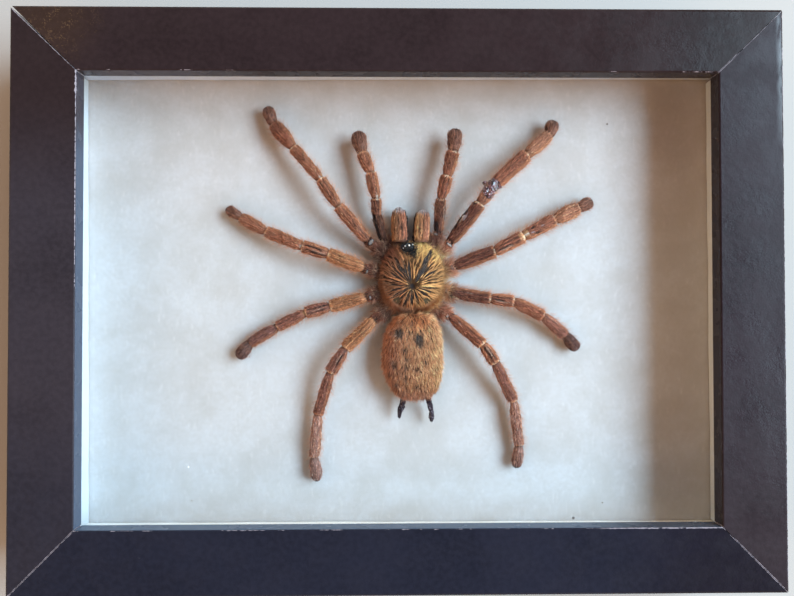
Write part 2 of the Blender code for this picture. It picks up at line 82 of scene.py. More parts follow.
# Box frame
OPENING_HALF = np.array((85.0, 60.0))
LIP_DEPTH = 4.2
LIP_WIDTH = 7.1
OUTER_EDGE_RADIUS = 0.9
INNER_EDGE_RADIUS = 0.5
BACK_CHAMFER = 0.4
FOIL_TURN_IN = 5.0  # how far the foil is folded over the back
MITRE_GAP = 0.10
OPEN_MITRE_GAP = 0.38  # at the outer end of the mitre that has come apart
TOP_LIP_TRIM = 0.43  # the top rail's lip is this much narrower than the others
SHARP_FROM = math.radians(40)  # edges of rails and strips look sharp from this angle on
# Colour of the inner wall of each rail's lip, a painted reflection and painted light: bluish on
# the left and bottom walls, dark on the top and right ones. And the rail's wear. A worn line is:
# the distance that it follows, how unbroken it is, its share of the worn width, the end of the
# rail that it keeps to (-1 or 1, or 0 for both) and how far it reaches from there.
RAIL_WALL_LIGHT_AND_WEAR = {
    "rail_bottom": ((0.092, 0.135, 0.210), (
        ("from_inner", 0.93, 0.62, 1, 42.0), ("from_inner", 0.30, 0.28, 0, 200.0),
        ("to_mitre", 0.95, 0.55, -1, 99.0), ("to_mitre", 0.75, 0.6, 1, 99.0),
    )),
    "rail_right": ((0.034, 0.036, 0.050), (
        ("from_inner", 0.16, 0.35, 0, 200.0), ("from_outer", 0.60, 0.6, 0, 200.0),
        ("to_mitre", 0.6, 0.55, -1, 99.0), ("to_mitre", 0.75, 0.5, 1, 99.0),
    )),
    "rail_top": ((0.036, 0.036, 0.048), (
        ("from_inner", 0.40, 0.35, 1, 40.0), ("from_inner", 0.75, 0.35, -1, 9.0),
        ("from_inner", 0.12, 0.3, 0, 200.0), ("to_mitre", 0.5, 0.5, -1, 99.0),
    )),
    "rail_left": ((0.062, 0.083, 0.128), (
        ("from_inner", 0.99, 1.0, -1, 9.5), ("from_inner", 0.86, 0.42, -1, 60.0),
        ("from_inner", 0.6, 0.3, -1, 110.0), ("to_mitre", 0.99, 0.75, -1, 99.0),
        ("to_mitre", 0.95, 0.55, 1, 99.0),
    )),
}
# Painted light and reflection: how much paler or darker the foil of each rail is in red, green
# and blue, by how the light falls on that side
RAIL_PAINTED_LIGHT = {
    "rail_left": (1.2, 1.25, 1.2), "rail_top": (0.92, 0.72, 0.60),
    "rail_right": (0.80, 0.66, 0.66), "rail_bottom": (0.55, 0.74, 0.95),
}
# Painted light and shade along a rail, on its foil and on its lip's inner wall: axis, the places
# in millimetres between which they change, and the share of its colour that is left
FOIL_LIGHT_FADES = {
    "rail_left": ((1, 20.0, 58.0, (0.68, 0.52, 0.45)), (1, -20.0, -58.0, (0.72, 0.80, 0.90))),
    "rail_bottom": ((0, 50.0, 84.0, (0.70, 0.60, 0.60)),),
    "rail_top": ((0, 62.0, 84.0, (0.50, 0.30, 0.30)),),
    "rail_right": ((1, -8.0, -56.0, (1.30, 1.50, 1.40)),),
}
WALL_LIGHT_FADES = {
    "rail_left": ((1, 36.0, 50.0, (0.65, 0.45, 0.38)),),
    "rail_bottom": ((0, 44.0, 66.0, (0.50, 0.44, 0.42)),),
    "rail_top": ((0, -30.0, -66.0, (1.55, 1.60, 1.70)),),
    "rail_right": (),
}
# Strength of the reflections of each rail's foil
FOIL_SPECULAR = {"rail_left": 0.085, "rail_bottom": 0.085, "rail_top": 0.085, "rail_right": 0.068}
WORN_CORE = (0.33, 0.31, 0.37)  # colour of the foil's pale core
# Painted light: how much paler or darker the card of each liner strip is in red, green and blue,
# by the light that falls on it
LINER_PAINTED_LIGHT = {
    "liner_bottom": (1.36, 1.30, 1.19), "liner_right": (1.0, 1.0, 1.0),
    "liner_top": (0.86, 0.89, 1.0), "liner_left": (0.84, 0.86, 0.87),
}
# Liner strips: distance of the outer face from the middle, half length, thickness, turn, and how
# far the foot of its inner face comes in at the strip's two ends
LINERS = {
    "liner_bottom": (66.8, 91.8, 2.3, 0, (0.60, 0.35)),
    "liner_right": (91.8, 63.8, 1.4, 90, (-0.35, 0.0)),
    "liner_top": (66.8, 91.8, 2.3, 180, (-0.45, 0.44)),
    "liner_left": (91.8, 63.8, 1.4, 270, (0.2, 1.15)),
}

# Body of the specimen, its places as x, y and height above the paper
CARAPACE_CENTRE = (3.6, 6.65)
CARAPACE_HALF = (8.8, 9.65)
CARAPACE_SQUARENESS = 2.45
CARAPACE_MARGIN = 5.7
CARAPACE_UNDERSIDE = 5.2
CARAPACE_RISE = 2.9
CARAPACE_FRONT_TAPER = 0.13
FOVEA = (3.6, 3.9)
STERNUM_CENTRE = (3.8, 6.6)
STERNUM_HALF = (2.5, 3.5)
STERNUM_BOTTOM = 1.3
EYE_MOUND = (2.4, 14.7, 7.7)
EYE_MOUND_HALF = (1.9, 1.4, 1.25)
ABDOMEN_CENTRE = (3.7, -15.4, 5.3)
ABDOMEN_HALF = (8.4, 11.9, 4.7)
CHELICERA_BASES = {"left": (0.3, 16.9), "right": (6.0, 16.9)}
CHELICERA_TIPS = {"left": (-0.1, 26.6), "right": (6.75, 26.0)}
CHELICERA_SQUARENESS = 2.4
# share of the length, half width, middle height, half height
CHELICERA_SECTIONS = np.array((
    (0.0, 2.1, 5.6, 2.0),
    (0.08, 2.4, 5.4, 2.4),
    (0.3, 2.5, 5.0, 2.7),
    (0.65, 2.45, 4.5, 2.6),
    (0.83, 2.1, 4.0, 2.1),
    (0.95, 1.35, 3.6, 1.3),
    (1.0, 0.7, 3.4, 0.6),
))
SPINNERETS = {
    "left": ((1.25, -27.9, 4.4), (0.9, -29.4, 4.2), (0.1, -31.8, 3.8), (-0.1, -34.2, 3.2)),
    "right": ((8.1, -27.2, 4.4), (8.4, -28.7, 4.3), (9.1, -31.3, 3.8), (9.3, -35.2, 3.2)),
}
SPINNERET_WIDTHS = (1.5, 1.58, 1.35)

# Limbs: joints from the body outwards, and the width of each segment over its coat of short hair.
# A leg's segments are coxa, trochanter, femur, patella, tibia, metatarsus and tarsus. A palp has
# no metatarsus, and the left one bends once within its femur.
LEG_SEGMENTS = ("coxa", "trochanter", "femur", "patella", "tibia", "metatarsus", "tarsus")
PALP_SEGMENTS = ("coxa", "trochanter", "femur", "patella", "tibia", "tarsus")
LIMBS = {
    "palp_left": (
        ("coxa", "trochanter", "bent femur", "femur", "patella", "tibia", "tarsus"),
        ((1.8, 13.2, 2.6), (-2.2, 15.0, 2.6), (-4.3, 17.1, 3.4), (-6.3, 23.7, 5.0),
         (-6.6, 28.9, 5.8), (-8.1, 36.2, 5.6), (-10.6, 42.1, 4.6), (-12.0, 48.7, 3.8)),
        (2.5, 2.4, 2.9, 2.9, 3.2, 3.4, 4.2),
    ),
    "palp_right": (
        PALP_SEGMENTS,
        ((5.8, 13.2, 2.6), (9.6, 15.4, 3.0), (11.1, 19.1, 4.4), (11.8, 28.7, 6.0),
         (13.6, 35.2, 5.9), (15.4, 42.4, 5.2), (16.2, 49.3, 4.8)),
        (2.5, 2.6, 3.0, 3.4, 3.6, 4.1),
    ),
    "leg_1_left": (
        LEG_SEGMENTS,
        ((0.2, 10.4, 3.0), (-5.6, 14.0, 3.4), (-8.7, 16.7, 4.6), (-17.2, 26.4, 7.4),
         (-22.2, 34.0, 7.0), (-30.1, 43.4, 5.2), (-36.0, 50.6, 3.6), (-38.1, 55.9, 3.0)),
        (2.9, 3.0, 3.4, 3.2, 3.1, 4.0, 3.4),
    ),
    "leg_2_left": (
        LEG_SEGMENTS,
        ((-0.6, 7.0, 3.0), (-6.6, 8.3, 3.4), (-9.7, 9.0, 4.6), (-20.1, 12.9, 6.6),
         (-27.3, 15.2, 6.2), (-38.0, 19.6, 4.2), (-45.4, 23.8, 2.8), (-49.9, 26.7, 2.4)),
        (2.9, 3.0, 3.9, 3.6, 3.3, 3.3, 2.9),
    ),
    "leg_3_left": (
        LEG_SEGMENTS,
        ((-0.6, 3.4, 3.0), (-6.2, 1.8, 3.4), (-9.1, 1.0, 4.4), (-19.6, -1.8, 5.6),
         (-26.6, -3.6, 5.2), (-34.8, -7.6, 3.6), (-42.9, -12.3, 2.4), (-46.4, -16.9, 2.2)),
        (2.9, 3.0, 3.6, 3.4, 3.1, 3.1, 3.5),
    ),
    "leg_4_left": (
        LEG_SEGMENTS,
        ((0.4, 0.2, 3.0), (-4.6, -3.2, 3.4), (-6.9, -5.2, 4.6), (-15.3, -13.6, 6.4),
         (-19.5, -20.4, 6.0), (-23.2, -32.6, 3.4), (-24.3, -45.0, 2.6), (-23.5, -52.2, 2.1)),
        (2.9, 3.0, 3.5, 3.4, 3.0, 3.0, 3.2),
    ),
    "leg_1_right": (
        LEG_SEGMENTS,
        ((7.4, 10.4, 3.0), (12.0, 13.8, 3.5), (14.4, 16.4, 4.8), (22.7, 27.1, 7.2),
         (26.3, 32.1, 7.0), (36.4, 41.3, 5.4), (43.3, 47.6, 3.6), (44.8, 52.2, 3.0)),
        (2.9, 3.0, 3.9, 3.4, 4.1, 3.7, 3.7),
    ),
    "leg_2_right": (
        LEG_SEGMENTS,
        ((8.2, 7.0, 3.0), (12.9, 8.6, 3.4), (15.6, 9.5, 4.6), (27.0, 13.8, 6.4),
         (35.2, 18.0, 6.0), (44.5, 23.0, 4.2), (51.9, 26.6, 2.8), (56.4, 28.8, 2.4)),
        (2.9, 3.0, 3.8, 3.6, 3.7, 4.1, 3.6),
    ),
    "leg_3_right": (
        LEG_SEGMENTS,
        ((8.2, 3.4, 3.0), (11.6, 2.8, 3.4), (14.0, 2.3, 4.4), (25.9, 0.4, 5.6),
         (32.5, -0.4, 5.2), (41.3, -4.6, 3.6), (48.0, -10.3, 2.4), (51.8, -14.6, 2.3)),
        (2.9, 3.0, 3.4, 3.4, 3.4, 3.2, 3.6),
    ),
    "leg_4_right": (
        LEG_SEGMENTS,
        ((7.2, 0.2, 3.0), (10.9, -2.4, 3.5), (14.4, -4.4, 4.6), (23.5, -12.5, 6.4),
         (27.1, -17.7, 6.0), (32.7, -29.0, 3.4), (34.4, -41.9, 2.6), (33.5, -48.6, 2.1)),
        (2.9, 3.1, 3.4, 3.4, 3.2, 2.9, 3.1),
    ),
}
# share of a segment's length and how full the limb is there
SEGMENT_SWELL = ((0.14, 0.96), (0.5, 1.0), (0.86, 0.97))
TIP_SWELL = ((0.14, 0.96), (0.5, 1.0), (0.82, 0.96), (0.95, 0.72), (1.0, 0.42))
JOINT_WAIST = 0.82
SKIN_SHARE = 0.93  # girth of the bare skin beside that over the short hair

# Camera, as the frame was photographed
CAMERA_PLACE = (-0.0030, -0.00205, 0.18873)
CAMERA_TURN = (-0.01536, 0.01359, 0.00108)  # from the world's axes to the camera's, in radians
LENS = 27.717
SENSOR = 36.0


# ---- Settings that a user would change ----

def colour_setting(name, description, default):
    """A colour, its parts from 0 to 1."""
    return bpy.props.FloatVectorProperty(
        name=name, description=description, default=default, min=0.0, max=1.0, subtype="COLOR",
    )


def light_setting(name, description, default):
    """A colour of light, its parts 0 or more."""
    return bpy.props.FloatVectorProperty(
        name=name, description=description, default=default, min=0.0, soft_max=3.0, subtype="COLOR",
    )


class FrameFinish(bpy.types.PropertyGroup):
    """Colours and wear of the box frame and what is behind its glass"""

    foil: colour_setting("Foil", "Dark foil round the rails", (0.0250, 0.0208, 0.0285))
    fibre: colour_setting("Raw board", "Bare fibreboard at the back of the rails", (0.36, 0.23, 0.13))
    paper: colour_setting("Paper", "Pale parts of the mottled paper", (0.560, 0.585, 0.620))
    paper_cloud: colour_setting("Paper clouds", "Darker clouds of the mottled paper", (0.438, 0.430, 0.420))
    liner: colour_setting("Liner", "White card round the inside", (0.66, 0.75, 0.84))
    panel: colour_setting("Back panel", "Hardboard panel at the back", (0.21, 0.115, 0.060))
    foil_roughness: bpy.props.FloatProperty(
        name="Foil roughness", description="How dull the foil is",
        default=0.24, min=0.0, max=1.0, subtype="FACTOR",
    )
    wear: bpy.props.FloatProperty(
        name="Worn width", description="Width of the worn line along an edge, in millimetres",
        default=0.22, min=0.0,
    )


class SpecimenLooks(bpy.types.PropertyGroup):
    """Colours and hair of the spider"""

    gold: colour_setting("Gold hair", "Brightest hair of the carapace", (0.51, 0.272, 0.114))
    tan: colour_setting("Tan hair", "Hair of the abdomen", (0.66, 0.362, 0.215))
    rust: colour_setting("Rust hair", "Orange-brown hair of the legs", (0.50, 0.213, 0.134))
    amber: colour_setting("Amber hair", "Golden hair of the legs and jaws", (0.58, 0.268, 0.136))
    umber: colour_setting("Umber hair", "Dark hair of the thighs of the right legs", (0.195, 0.070, 0.047))
    cream: colour_setting("Cream hair", "Rims at the joints", (0.95, 0.77, 0.55))
    hairs: bpy.props.FloatProperty(
        name="Hairs", description="Share of the full number of hairs",
        default=1.0, min=0.01, max=1.0, subtype="FACTOR",
    )
    seed: bpy.props.IntProperty(
        name="Seed", description="Another seed places the hairs anew", default=7, min=0,
    )


class StudioLooks(bpy.types.PropertyGroup):
    """Light and floor"""

    key_power: bpy.props.FloatProperty(
        name="Key power", description="Power of the soft main light", default=28.2, min=0.0, subtype="POWER",
    )
    key_colour: colour_setting("Key colour", "Colour of the main light", (0.61, 0.84, 1.0))
    side_fill: light_setting("Side fill", "Soft light from near the horizon", (1.30, 0.76, 0.30))
    top_fill: light_setting("Top fill", "Soft light from above", (0.80, 0.68, 0.72))
    floor: colour_setting("Floor", "Plain pale floor", (0.42, 0.42, 0.415))
    key_height: bpy.props.FloatProperty(
        name="Key height", description="Height of the main light above the horizon",
        default=math.radians(43.5), min=0.0, max=math.pi / 2, subtype="ANGLE",
    )
    key_side: bpy.props.FloatProperty(
        name="Key side", description="Direction of the main light, turned from +X towards +Y",
        default=math.radians(11.6), subtype="ANGLE",
    )


# ---- Meshes from arrays ----

def unit(vectors):
    """Vectors divided by their length."""
    return vectors / np.maximum(np.linalg.norm(vectors, axis=-1, keepdims=True), 1e-9)


def smooth_step(low, high, value):
    """0 below low, 1 above high, and 3x²-2x³ between them."""
    share = np.clip((value - low) / (high - low), 0.0, 1.0)
    return share * share * (3 - 2 * share)


def bell(value, centre, width):
    """1 at the centre, falling off as exp(-(distance / width)²)."""
    return np.exp(-(((value - centre) / width) ** 2))


def blend(first, second, share):
    """Colours between first and second, by a share for each row."""
    share = np.asarray(share)[..., None]
    return np.asarray(first) * (1 - share) + np.asarray(second) * share


def scaled(colour, gain):
    """A colour times a number, or times one each for red, green and blue."""
    return tuple(np.multiply(colour, gain))


def joined(x, y, z):
    """Points from their x, y and z, any of which may be one number for all of them."""
    return np.stack(np.broadcast_arrays(x, y, z), axis=-1)


def grid(rows, columns):
    """Every pair of a u from the rows and a v from the columns, which go round from 0 to 1."""
    return np.meshgrid(rows, np.arange(columns) / columns, indexing="ij")


def round_angles(count):
    """Evenly spaced angles of a whole turn, as one row."""
    return np.linspace(0, 2 * math.pi, count, endpoint=False)[None, :]


def from_top(degrees):
    """The turn from the top, from -180 to 180, of a turn from the side."""
    return (degrees - 90 + 180) % 360 - 180


def off_centre(x, y, oval):
    """Distance from an oval's middle, 1 at its edge. It is given as x, y and its two half sizes."""
    centre_x, centre_y, half_x, half_y = oval
    return np.hypot((x - centre_x) / half_x, (y - centre_y) / half_y)


def thin_below(v, share, low, high):
    """The share on a surface's underside, which rises to 1 as the sine of v's angle goes from low
    to high."""
    return share + (1 - share) * smooth_step(low, high, np.sin(2 * math.pi * v))


def ripple(points, wavelength, seed):
    """Smooth unevenness from -1 to 1 in three dimensions: the mean of six sine waves of about that
    wavelength, each in a direction and with a phase of its own."""
    random = np.random.default_rng(seed)
    ways = unit(random.normal(size=(6, 3))) * random.uniform(0.7, 1.4, (6, 1)) * 2 * math.pi / wavelength
    return np.sin(points @ ways.T + random.uniform(0, 2 * math.pi, 6)).mean(axis=-1) * 1.6


def new_mesh(name, points, faces, smooth=True):
    """A mesh object from points in millimetres and one array of equal-sided faces or several, all
    turned outwards if the signed volume comes out negative."""
    arrays = faces if isinstance(faces, (list, tuple)) else [faces]
    arrays = [np.asarray(array) for array in arrays if len(array)]
    volume = 0.0
    for array in arrays:
        for corner in range(1, array.shape[1] - 1):
            a, b, c = points[array[:, 0]], points[array[:, corner]], points[array[:, corner + 1]]
            volume += np.einsum("ij,ij->", a, np.cross(b, c))
    if volume < 0:
        arrays = [array[:, ::-1] for array in arrays]
    sizes = np.concatenate([np.full(len(array), array.shape[1]) for array in arrays])
    starts = np.concatenate([[0], np.cumsum(sizes)[:-1]])
    corners = np.concatenate([array.ravel() for array in arrays])
    mesh = bpy.data.meshes.new(name)
    mesh.vertices.add(len(points))
    mesh.vertices.foreach_set("co", (points * MM).astype(np.float32).ravel())
    mesh.loops.add(len(corners))
    mesh.loops.foreach_set("vertex_index", corners.astype(np.int32))
    mesh.polygons.add(len(sizes))
    mesh.polygons.foreach_set("loop_start", starts.astype(np.int32))
    mesh.polygons.foreach_set("use_smooth", np.full(len(sizes), smooth))
    mesh.update(calc_edges=True)
    obj = bpy.data.objects.new(name, mesh)
    bpy.context.scene.collection.objects.link(obj)
    return obj


def sheet_faces(rows, columns):
    """Four-sided faces of a grid of points numbered row by row, each row joined round."""
    first = np.arange(rows - 1)[:, None] * columns
    column = np.arange(columns)[None, :]
    after = (column + 1) % columns
    quads = [first + column, first + after, first + columns + after, first + columns + column]
    return np.stack(quads, axis=-1).reshape(-1, 4)


def skin(name, rings, caps=(None, None)):
    """A closed surface over rings of equally many points, as an array of rows, columns and 3. Each
    end is closed by a fan to its cap point, or to the middle of its ring."""
    rows, columns = rings.shape[:2]
    poles = [ring.mean(axis=0) if cap is None else cap for ring, cap in zip(rings[[0, -1]], caps)]
    points = np.concatenate([rings.reshape(-1, 3), np.array(poles)])
    column = np.arange(columns)
    after = (column + 1) % columns
    last = (rows - 1) * columns
    low = joined(rows * columns, after, column)
    high = joined(rows * columns + 1, last + column, last + after)
    return new_mesh(name, points, [sheet_faces(rows, columns), np.concatenate([low, high])])


def paint(obj, colours):
    """Keeps a colour for each point of the mesh, which the materials read by name. Points after the
    last colour given, such as the poles of a skin, get that one."""
    full = np.ones((len(obj.data.vertices), 4), np.float32)
    colours = np.reshape(colours, (-1, 3))
    full[: len(colours), :3] = colours
    full[len(colours):, :3] = colours[-1]
    layer = obj.data.color_attributes.new(name="tint", type="FLOAT_COLOR", domain="POINT")
    layer.data.foreach_set("color", full.ravel())


def measure(obj, values, name):
    """Keeps a number for each point of the mesh, which the materials read by name."""
    layer = obj.data.attributes.new(name=name, type="FLOAT", domain="POINT")
    layer.data.foreach_set("value", np.asarray(values, np.float32).ravel())


def finish_piece(obj, material, slot, *nodes):
    """Gives a piece its material, and lets it stand for its CAD nodes. The slot is not used."""
    obj.data.materials.append(material)
    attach(obj, "root")
    if nodes:
        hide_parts(*nodes)
    return obj


# ---- Hair from arrays ----

def surface_frame(shape, u, v, hand=1.0):
    """Places on a surface, its outward normals, and the direction in which u grows. The hand is 1
    where u, v and the way out follow the right-hand rule, and -1 where they don't."""
    step = 2e-4
    place = shape(u, v)
    along = unit(shape(np.minimum(u + step, 1.0), v) - shape(np.maximum(u - step, 0.0), v))
    around = unit(shape(u, v + step) - shape(u, v - step))
    return place, unit(np.cross(along, around)) * hand, along


def scatter(shape, count, random, density, rows=220, columns=90):
    """Random u and v on a surface: each small patch gets places in the measure of its area times
    the density asked for there."""
    u, v = np.meshgrid((np.arange(rows) + 0.5) / rows, (np.arange(columns) + 0.5) / columns, indexing="ij")
    half_u, half_v = 0.5 / rows, 0.5 / columns
    across = shape(u + half_u, v) - shape(u - half_u, v)
    round_about = shape(u, v + half_v) - shape(u, v - half_v)
    weight = np.linalg.norm(np.cross(across, round_about), axis=-1) * density(u, v)
    cells = random.choice(weight.size, count, p=weight.ravel() / weight.sum())
    row, column = cells // columns, cells % columns
    return (row + random.random(count)) / rows, (column + random.random(count)) / columns


HAIR_FACES = np.array(((0, 2, 1), (0, 3, 2), (0, 1, 3), (4, 1, 2), (4, 2, 3), (4, 3, 1)))
HAIR_ACROSS = np.array((0.5, 0.1, 0.5, 0.9, 0.5))  # a hair's five points across its cell of the map


def hairs(name, roots, ways, normals, lengths, widths, bends, root_tints, tip_tints, middle=0.42):
    """Closed bent hairs as one mesh. Each is a point at its root, a ring of three points at the
    middle share of its length, pushed off the straight line along the normal by the bend's share
    of the length, and a point at its tip: six triangles."""
    count = len(roots)
    aside = unit(np.cross(ways, normals))
    over = np.cross(aside, ways)
    length = np.asarray(lengths)[:, None]
    half = np.asarray(widths)[:, None] / 2
    centre = roots + ways * length * middle + over * length * np.asarray(bends)[:, None]
    angles = np.radians((90.0, 210.0, 330.0))
    ring = [centre + half * (math.cos(a) * aside + math.sin(a) * over) for a in angles]
    points = np.stack([roots, *ring, roots + ways * length], axis=1).reshape(-1, 3)
    faces = (np.arange(count)[:, None, None] * 5 + HAIR_FACES).reshape(-1, 3)
    obj = new_mesh(name, points, faces)
    middle_tints = blend(root_tints, tip_tints, np.full(count, 0.6))
    paint(obj, np.stack([root_tints, middle_tints, middle_tints, middle_tints, tip_tints], axis=1))
    cells = math.ceil(math.sqrt(count))
    along = np.array((0.1, middle, middle, middle, 0.9))
    flipped = obj.data.loops[0].vertex_index != faces[0, 0]
    corner = HAIR_FACES[:, ::-1].ravel() if flipped else HAIR_FACES.ravel()
    number = np.arange(count)[:, None]
    across = (number % cells + HAIR_ACROSS[corner]) / cells
    upward = (number // cells + along[corner]) / cells
    layer = obj.data.uv_layers.new(name=BAKE_MAP)
    layer.data.foreach_set("uv", np.stack([across, upward], axis=-1).astype(np.float32).ravel())
    return obj


def tilted(along, normal, lift, sway):
    """Directions that leave the surface: turned up from along towards the normal by lift, and
    sideways, towards the normal crossed with along, by sway. Both are in radians."""
    aside = unit(np.cross(normal, along))
    flat = along * np.cos(sway)[:, None] + aside * np.sin(sway)[:, None]
    return unit(flat * np.cos(lift)[:, None] + normal * np.sin(lift)[:, None])


def nearest_rows(points, others):
    """For each point the number of the nearest of the others, a few thousand points at a time."""
    points, others = points.astype(np.float32), others.astype(np.float32)
    square = np.sum(others * others, axis=1)
    parts = np.array_split(points, max(1, len(points) // 4000))
    return np.concatenate([np.argmin(square - 2 * part @ others.T, axis=1) for part in parts])


def locks(place, along, normal, length, centres, random, pull, shade_spread, turn_spread):
    """Gathers hairs into locks. Each hair belongs to the nearest centre. It shares that lock's
    shade and turn, and turns aside as well by the angle that brings its tip that share of the way
    to the line through the centre. Returns the shades and the turns."""
    nearest = nearest_rows(place, centres)
    shades = np.exp(random.normal(0, shade_spread, len(centres)))
    turns = np.radians(random.normal(0, turn_spread, len(centres)))
    aside = unit(np.cross(normal, along))
    off = np.einsum("ij,ij->i", place - centres[nearest], aside)
    return shades[nearest], turns[nearest] - np.arctan2(pull * off, length)


# ---- Shader nodes ----

FLOAT, COLOUR, VECTOR = "NodeSocketFloat", "NodeSocketColor", "NodeSocketVector"


def add_node(tree, kind, inputs=None, **settings):
    """A node with its settings, its sockets set by name or number to a value or another's socket."""
    made = tree.nodes.new(kind)
    for key, value in settings.items():
        setattr(made, key, value)
    for key, value in (inputs or {}).items():
        if isinstance(value, bpy.types.NodeSocket):
            tree.links.new(value, made.inputs[key])
        else:
            made.inputs[key].default_value = value
    return made


def mixed(tree, share, first, second, mode="MIX"):
    """The colour that a Mix node gives. A colour is a socket or three numbers."""
    inputs = {0: share}
    for socket, value in ((6, first), (7, second)):
        inputs[socket] = value if isinstance(value, bpy.types.NodeSocket) else (*value, 1.0)
    return add_node(tree, "ShaderNodeMix", inputs, data_type="RGBA", blend_type=mode).outputs[2]


def arithmetic(tree, operation, first, second):
    """What a Math node gives for two values."""
    return add_node(tree, "ShaderNodeMath", {0: first, 1: second}, operation=operation).outputs[0]


def times(tree, first, second):
    """The product of two values."""
    return arithmetic(tree, "MULTIPLY", first, second)


def spread(tree, value, low, high, to_low=0.0, to_high=1.0):
    """A value from low to high made one from to_low to to_high, smoothly."""
    made = add_node(
        tree, "ShaderNodeMapRange", {"Value": value, 1: low, 2: high, 3: to_low, 4: to_high},
        interpolation_type="SMOOTHSTEP",
    )
    return made.outputs[0]


def noise(tree, place, scale, detail):
    """What a Noise texture gives at a place."""
    inputs = {"Vector": place, "Scale": scale, "Detail": detail}
    return add_node(tree, "ShaderNodeTexNoise", inputs).outputs[0]


def distance_to(tree, place, point):
    """The distance from a point, in millimetres where the place is."""
    return add_node(tree, "ShaderNodeVectorMath", {0: place, 1: point}, operation="DISTANCE").outputs["Value"]


def attribute(tree, name, output="Fac"):
    """What is kept for each point under this name."""
    return add_node(tree, "ShaderNodeAttribute", attribute_name=name).outputs[output]


def object_place(tree, stretch=(1.0, 1.0, 1.0), turn=0.0):
    """Object coordinates in millimetres, stretched along the axes and turned about Z."""
    place = add_node(tree, "ShaderNodeTexCoord").outputs["Object"]
    scale = [value / MM for value in stretch]
    inputs = {0: place, "Rotation": (0, 0, turn), "Scale": scale}
    return add_node(tree, "ShaderNodeMapping", inputs).outputs[0]


def new_group(name, inputs, outputs):
    """An empty node group with named sockets, given as names and kinds. Returns its tree, the
    sockets that it takes in and the ones that it gives out."""
    tree = bpy.data.node_groups.new(name, "ShaderNodeTree")
    for label, kind, default in inputs:
        socket = tree.interface.new_socket(name=label, in_out="INPUT", socket_type=kind)
        if default is not None:
            socket.default_value = default
    for label, kind in outputs:
        tree.interface.new_socket(name=label, in_out="OUTPUT", socket_type=kind)
    return tree, tree.nodes.new("NodeGroupInput").outputs, tree.nodes.new("NodeGroupOutput").inputs


def make_mottle_group():
    """Soft uneven clouds of a given size in millimetres."""
    tree, given, gives = new_group(
        "Mottle", [("Place", VECTOR, None), ("Size", FLOAT, 5.0), ("Low", FLOAT, 0.4), ("High", FLOAT, 0.6)],
        [("Mask", FLOAT)],
    )
    scale = arithmetic(tree, "DIVIDE", 1.0, given["Size"])
    clouds = noise(tree, given["Place"], scale, 4.0)
    tree.links.new(spread(tree, clouds, given["Low"], given["High"]), gives["Mask"])


def make_worn_edge_group():
    """A worn line along an edge, ragged and broken, from the distance to that edge in millimetres."""
    tree, given, gives = new_group(
        "Worn edge",
        [("Place", VECTOR, None), ("Distance", FLOAT, 1.0), ("Width", FLOAT, 0.2), ("Unbroken", FLOAT, 0.5)],
        [("Mask", FLOAT)],
    )
    fine = noise(tree, given["Place"], 1.1, 3.0)
    coarse = noise(tree, given["Place"], 0.16, 3.0)
    width = times(tree, given["Width"], spread(tree, fine, 0.3, 0.7, 0.3, 1.7))
    near = arithmetic(tree, "LESS_THAN", given["Distance"], width)
    gap = arithmetic(tree, "SUBTRACT", 1.0, given["Unbroken"])
    broken = arithmetic(tree, "GREATER_THAN", spread(tree, coarse, 0.25, 0.75), gap)
    tree.links.new(times(tree, near, broken), gives["Mask"])


def make_speck_group():
    """Scattered specks: a share of the cells of a Voronoi texture have a dot at their middle."""
    tree, given, gives = new_group(
        "Specks",
        [("Place", VECTOR, None), ("Spacing", FLOAT, 3.0), ("Size", FLOAT, 0.1), ("Share", FLOAT, 0.3)],
        [("Mask", FLOAT)],
    )
    scale = arithmetic(tree, "DIVIDE", 1.0, given["Spacing"])
    cells = add_node(tree, "ShaderNodeTexVoronoi", {"Vector": given["Place"], "Scale": scale})
    pick = add_node(tree, "ShaderNodeSeparateColor", {0: cells.outputs["Color"]}).outputs[0]
    reach = arithmetic(tree, "DIVIDE", given["Size"], given["Spacing"])
    dot = arithmetic(tree, "LESS_THAN", cells.outputs["Distance"], reach)
    chosen = arithmetic(tree, "LESS_THAN", pick, given["Share"])
    tree.links.new(times(tree, dot, chosen), gives["Mask"])


def make_coat_group():
    """The colour of hair or of the skin under it: its tint, made lighter and darker in fine and in
    broad patches."""
    tree, given, gives = new_group(
        "Coat", [("Tint", COLOUR, None), ("Place", VECTOR, None), ("Unevenness", FLOAT, 0.3)],
        [("Colour", COLOUR), ("Roughness", FLOAT)],
    )
    fine = noise(tree, given["Place"], 2.4, 2.0)
    both = arithmetic(tree, "ADD", fine, noise(tree, given["Place"], 0.35, 2.0))
    swing = times(tree, arithmetic(tree, "SUBTRACT", both, 1.0), given["Unevenness"])
    gain = arithmetic(tree, "ADD", times(tree, swing, 2.0), 1.0)
    colour = add_node(tree, "ShaderNodeVectorMath", {0: given["Tint"], 1: gain}, operation="MULTIPLY")
    tree.links.new(colour.outputs[0], gives["Colour"])
    tree.links.new(spread(tree, fine, 0.3, 0.7, 0.5, 0.72), gives["Roughness"])


def group_node(tree, name, inputs):
    """The outputs of a node that uses one of the groups."""
    return add_node(tree, "ShaderNodeGroup", inputs, node_tree=bpy.data.node_groups[name]).outputs


def mottle(tree, place, size, low, high):
    """The Mottle group's mask."""
    return group_node(tree, "Mottle", {"Place": place, "Size": size, "Low": low, "High": high})["Mask"]


def specks(tree, place, spacing, size, share):
    """The Specks group's mask."""
    inputs = {"Place": place, "Spacing": spacing, "Size": size, "Share": share}
    return group_node(tree, "Specks", inputs)["Mask"]


def new_material(name):
    """A material with its tree and its Principled shader."""
    material = bpy.data.materials.new(name)
    material.use_nodes = True
    tree = material.node_tree
    return material, tree, tree.nodes["Principled BSDF"]


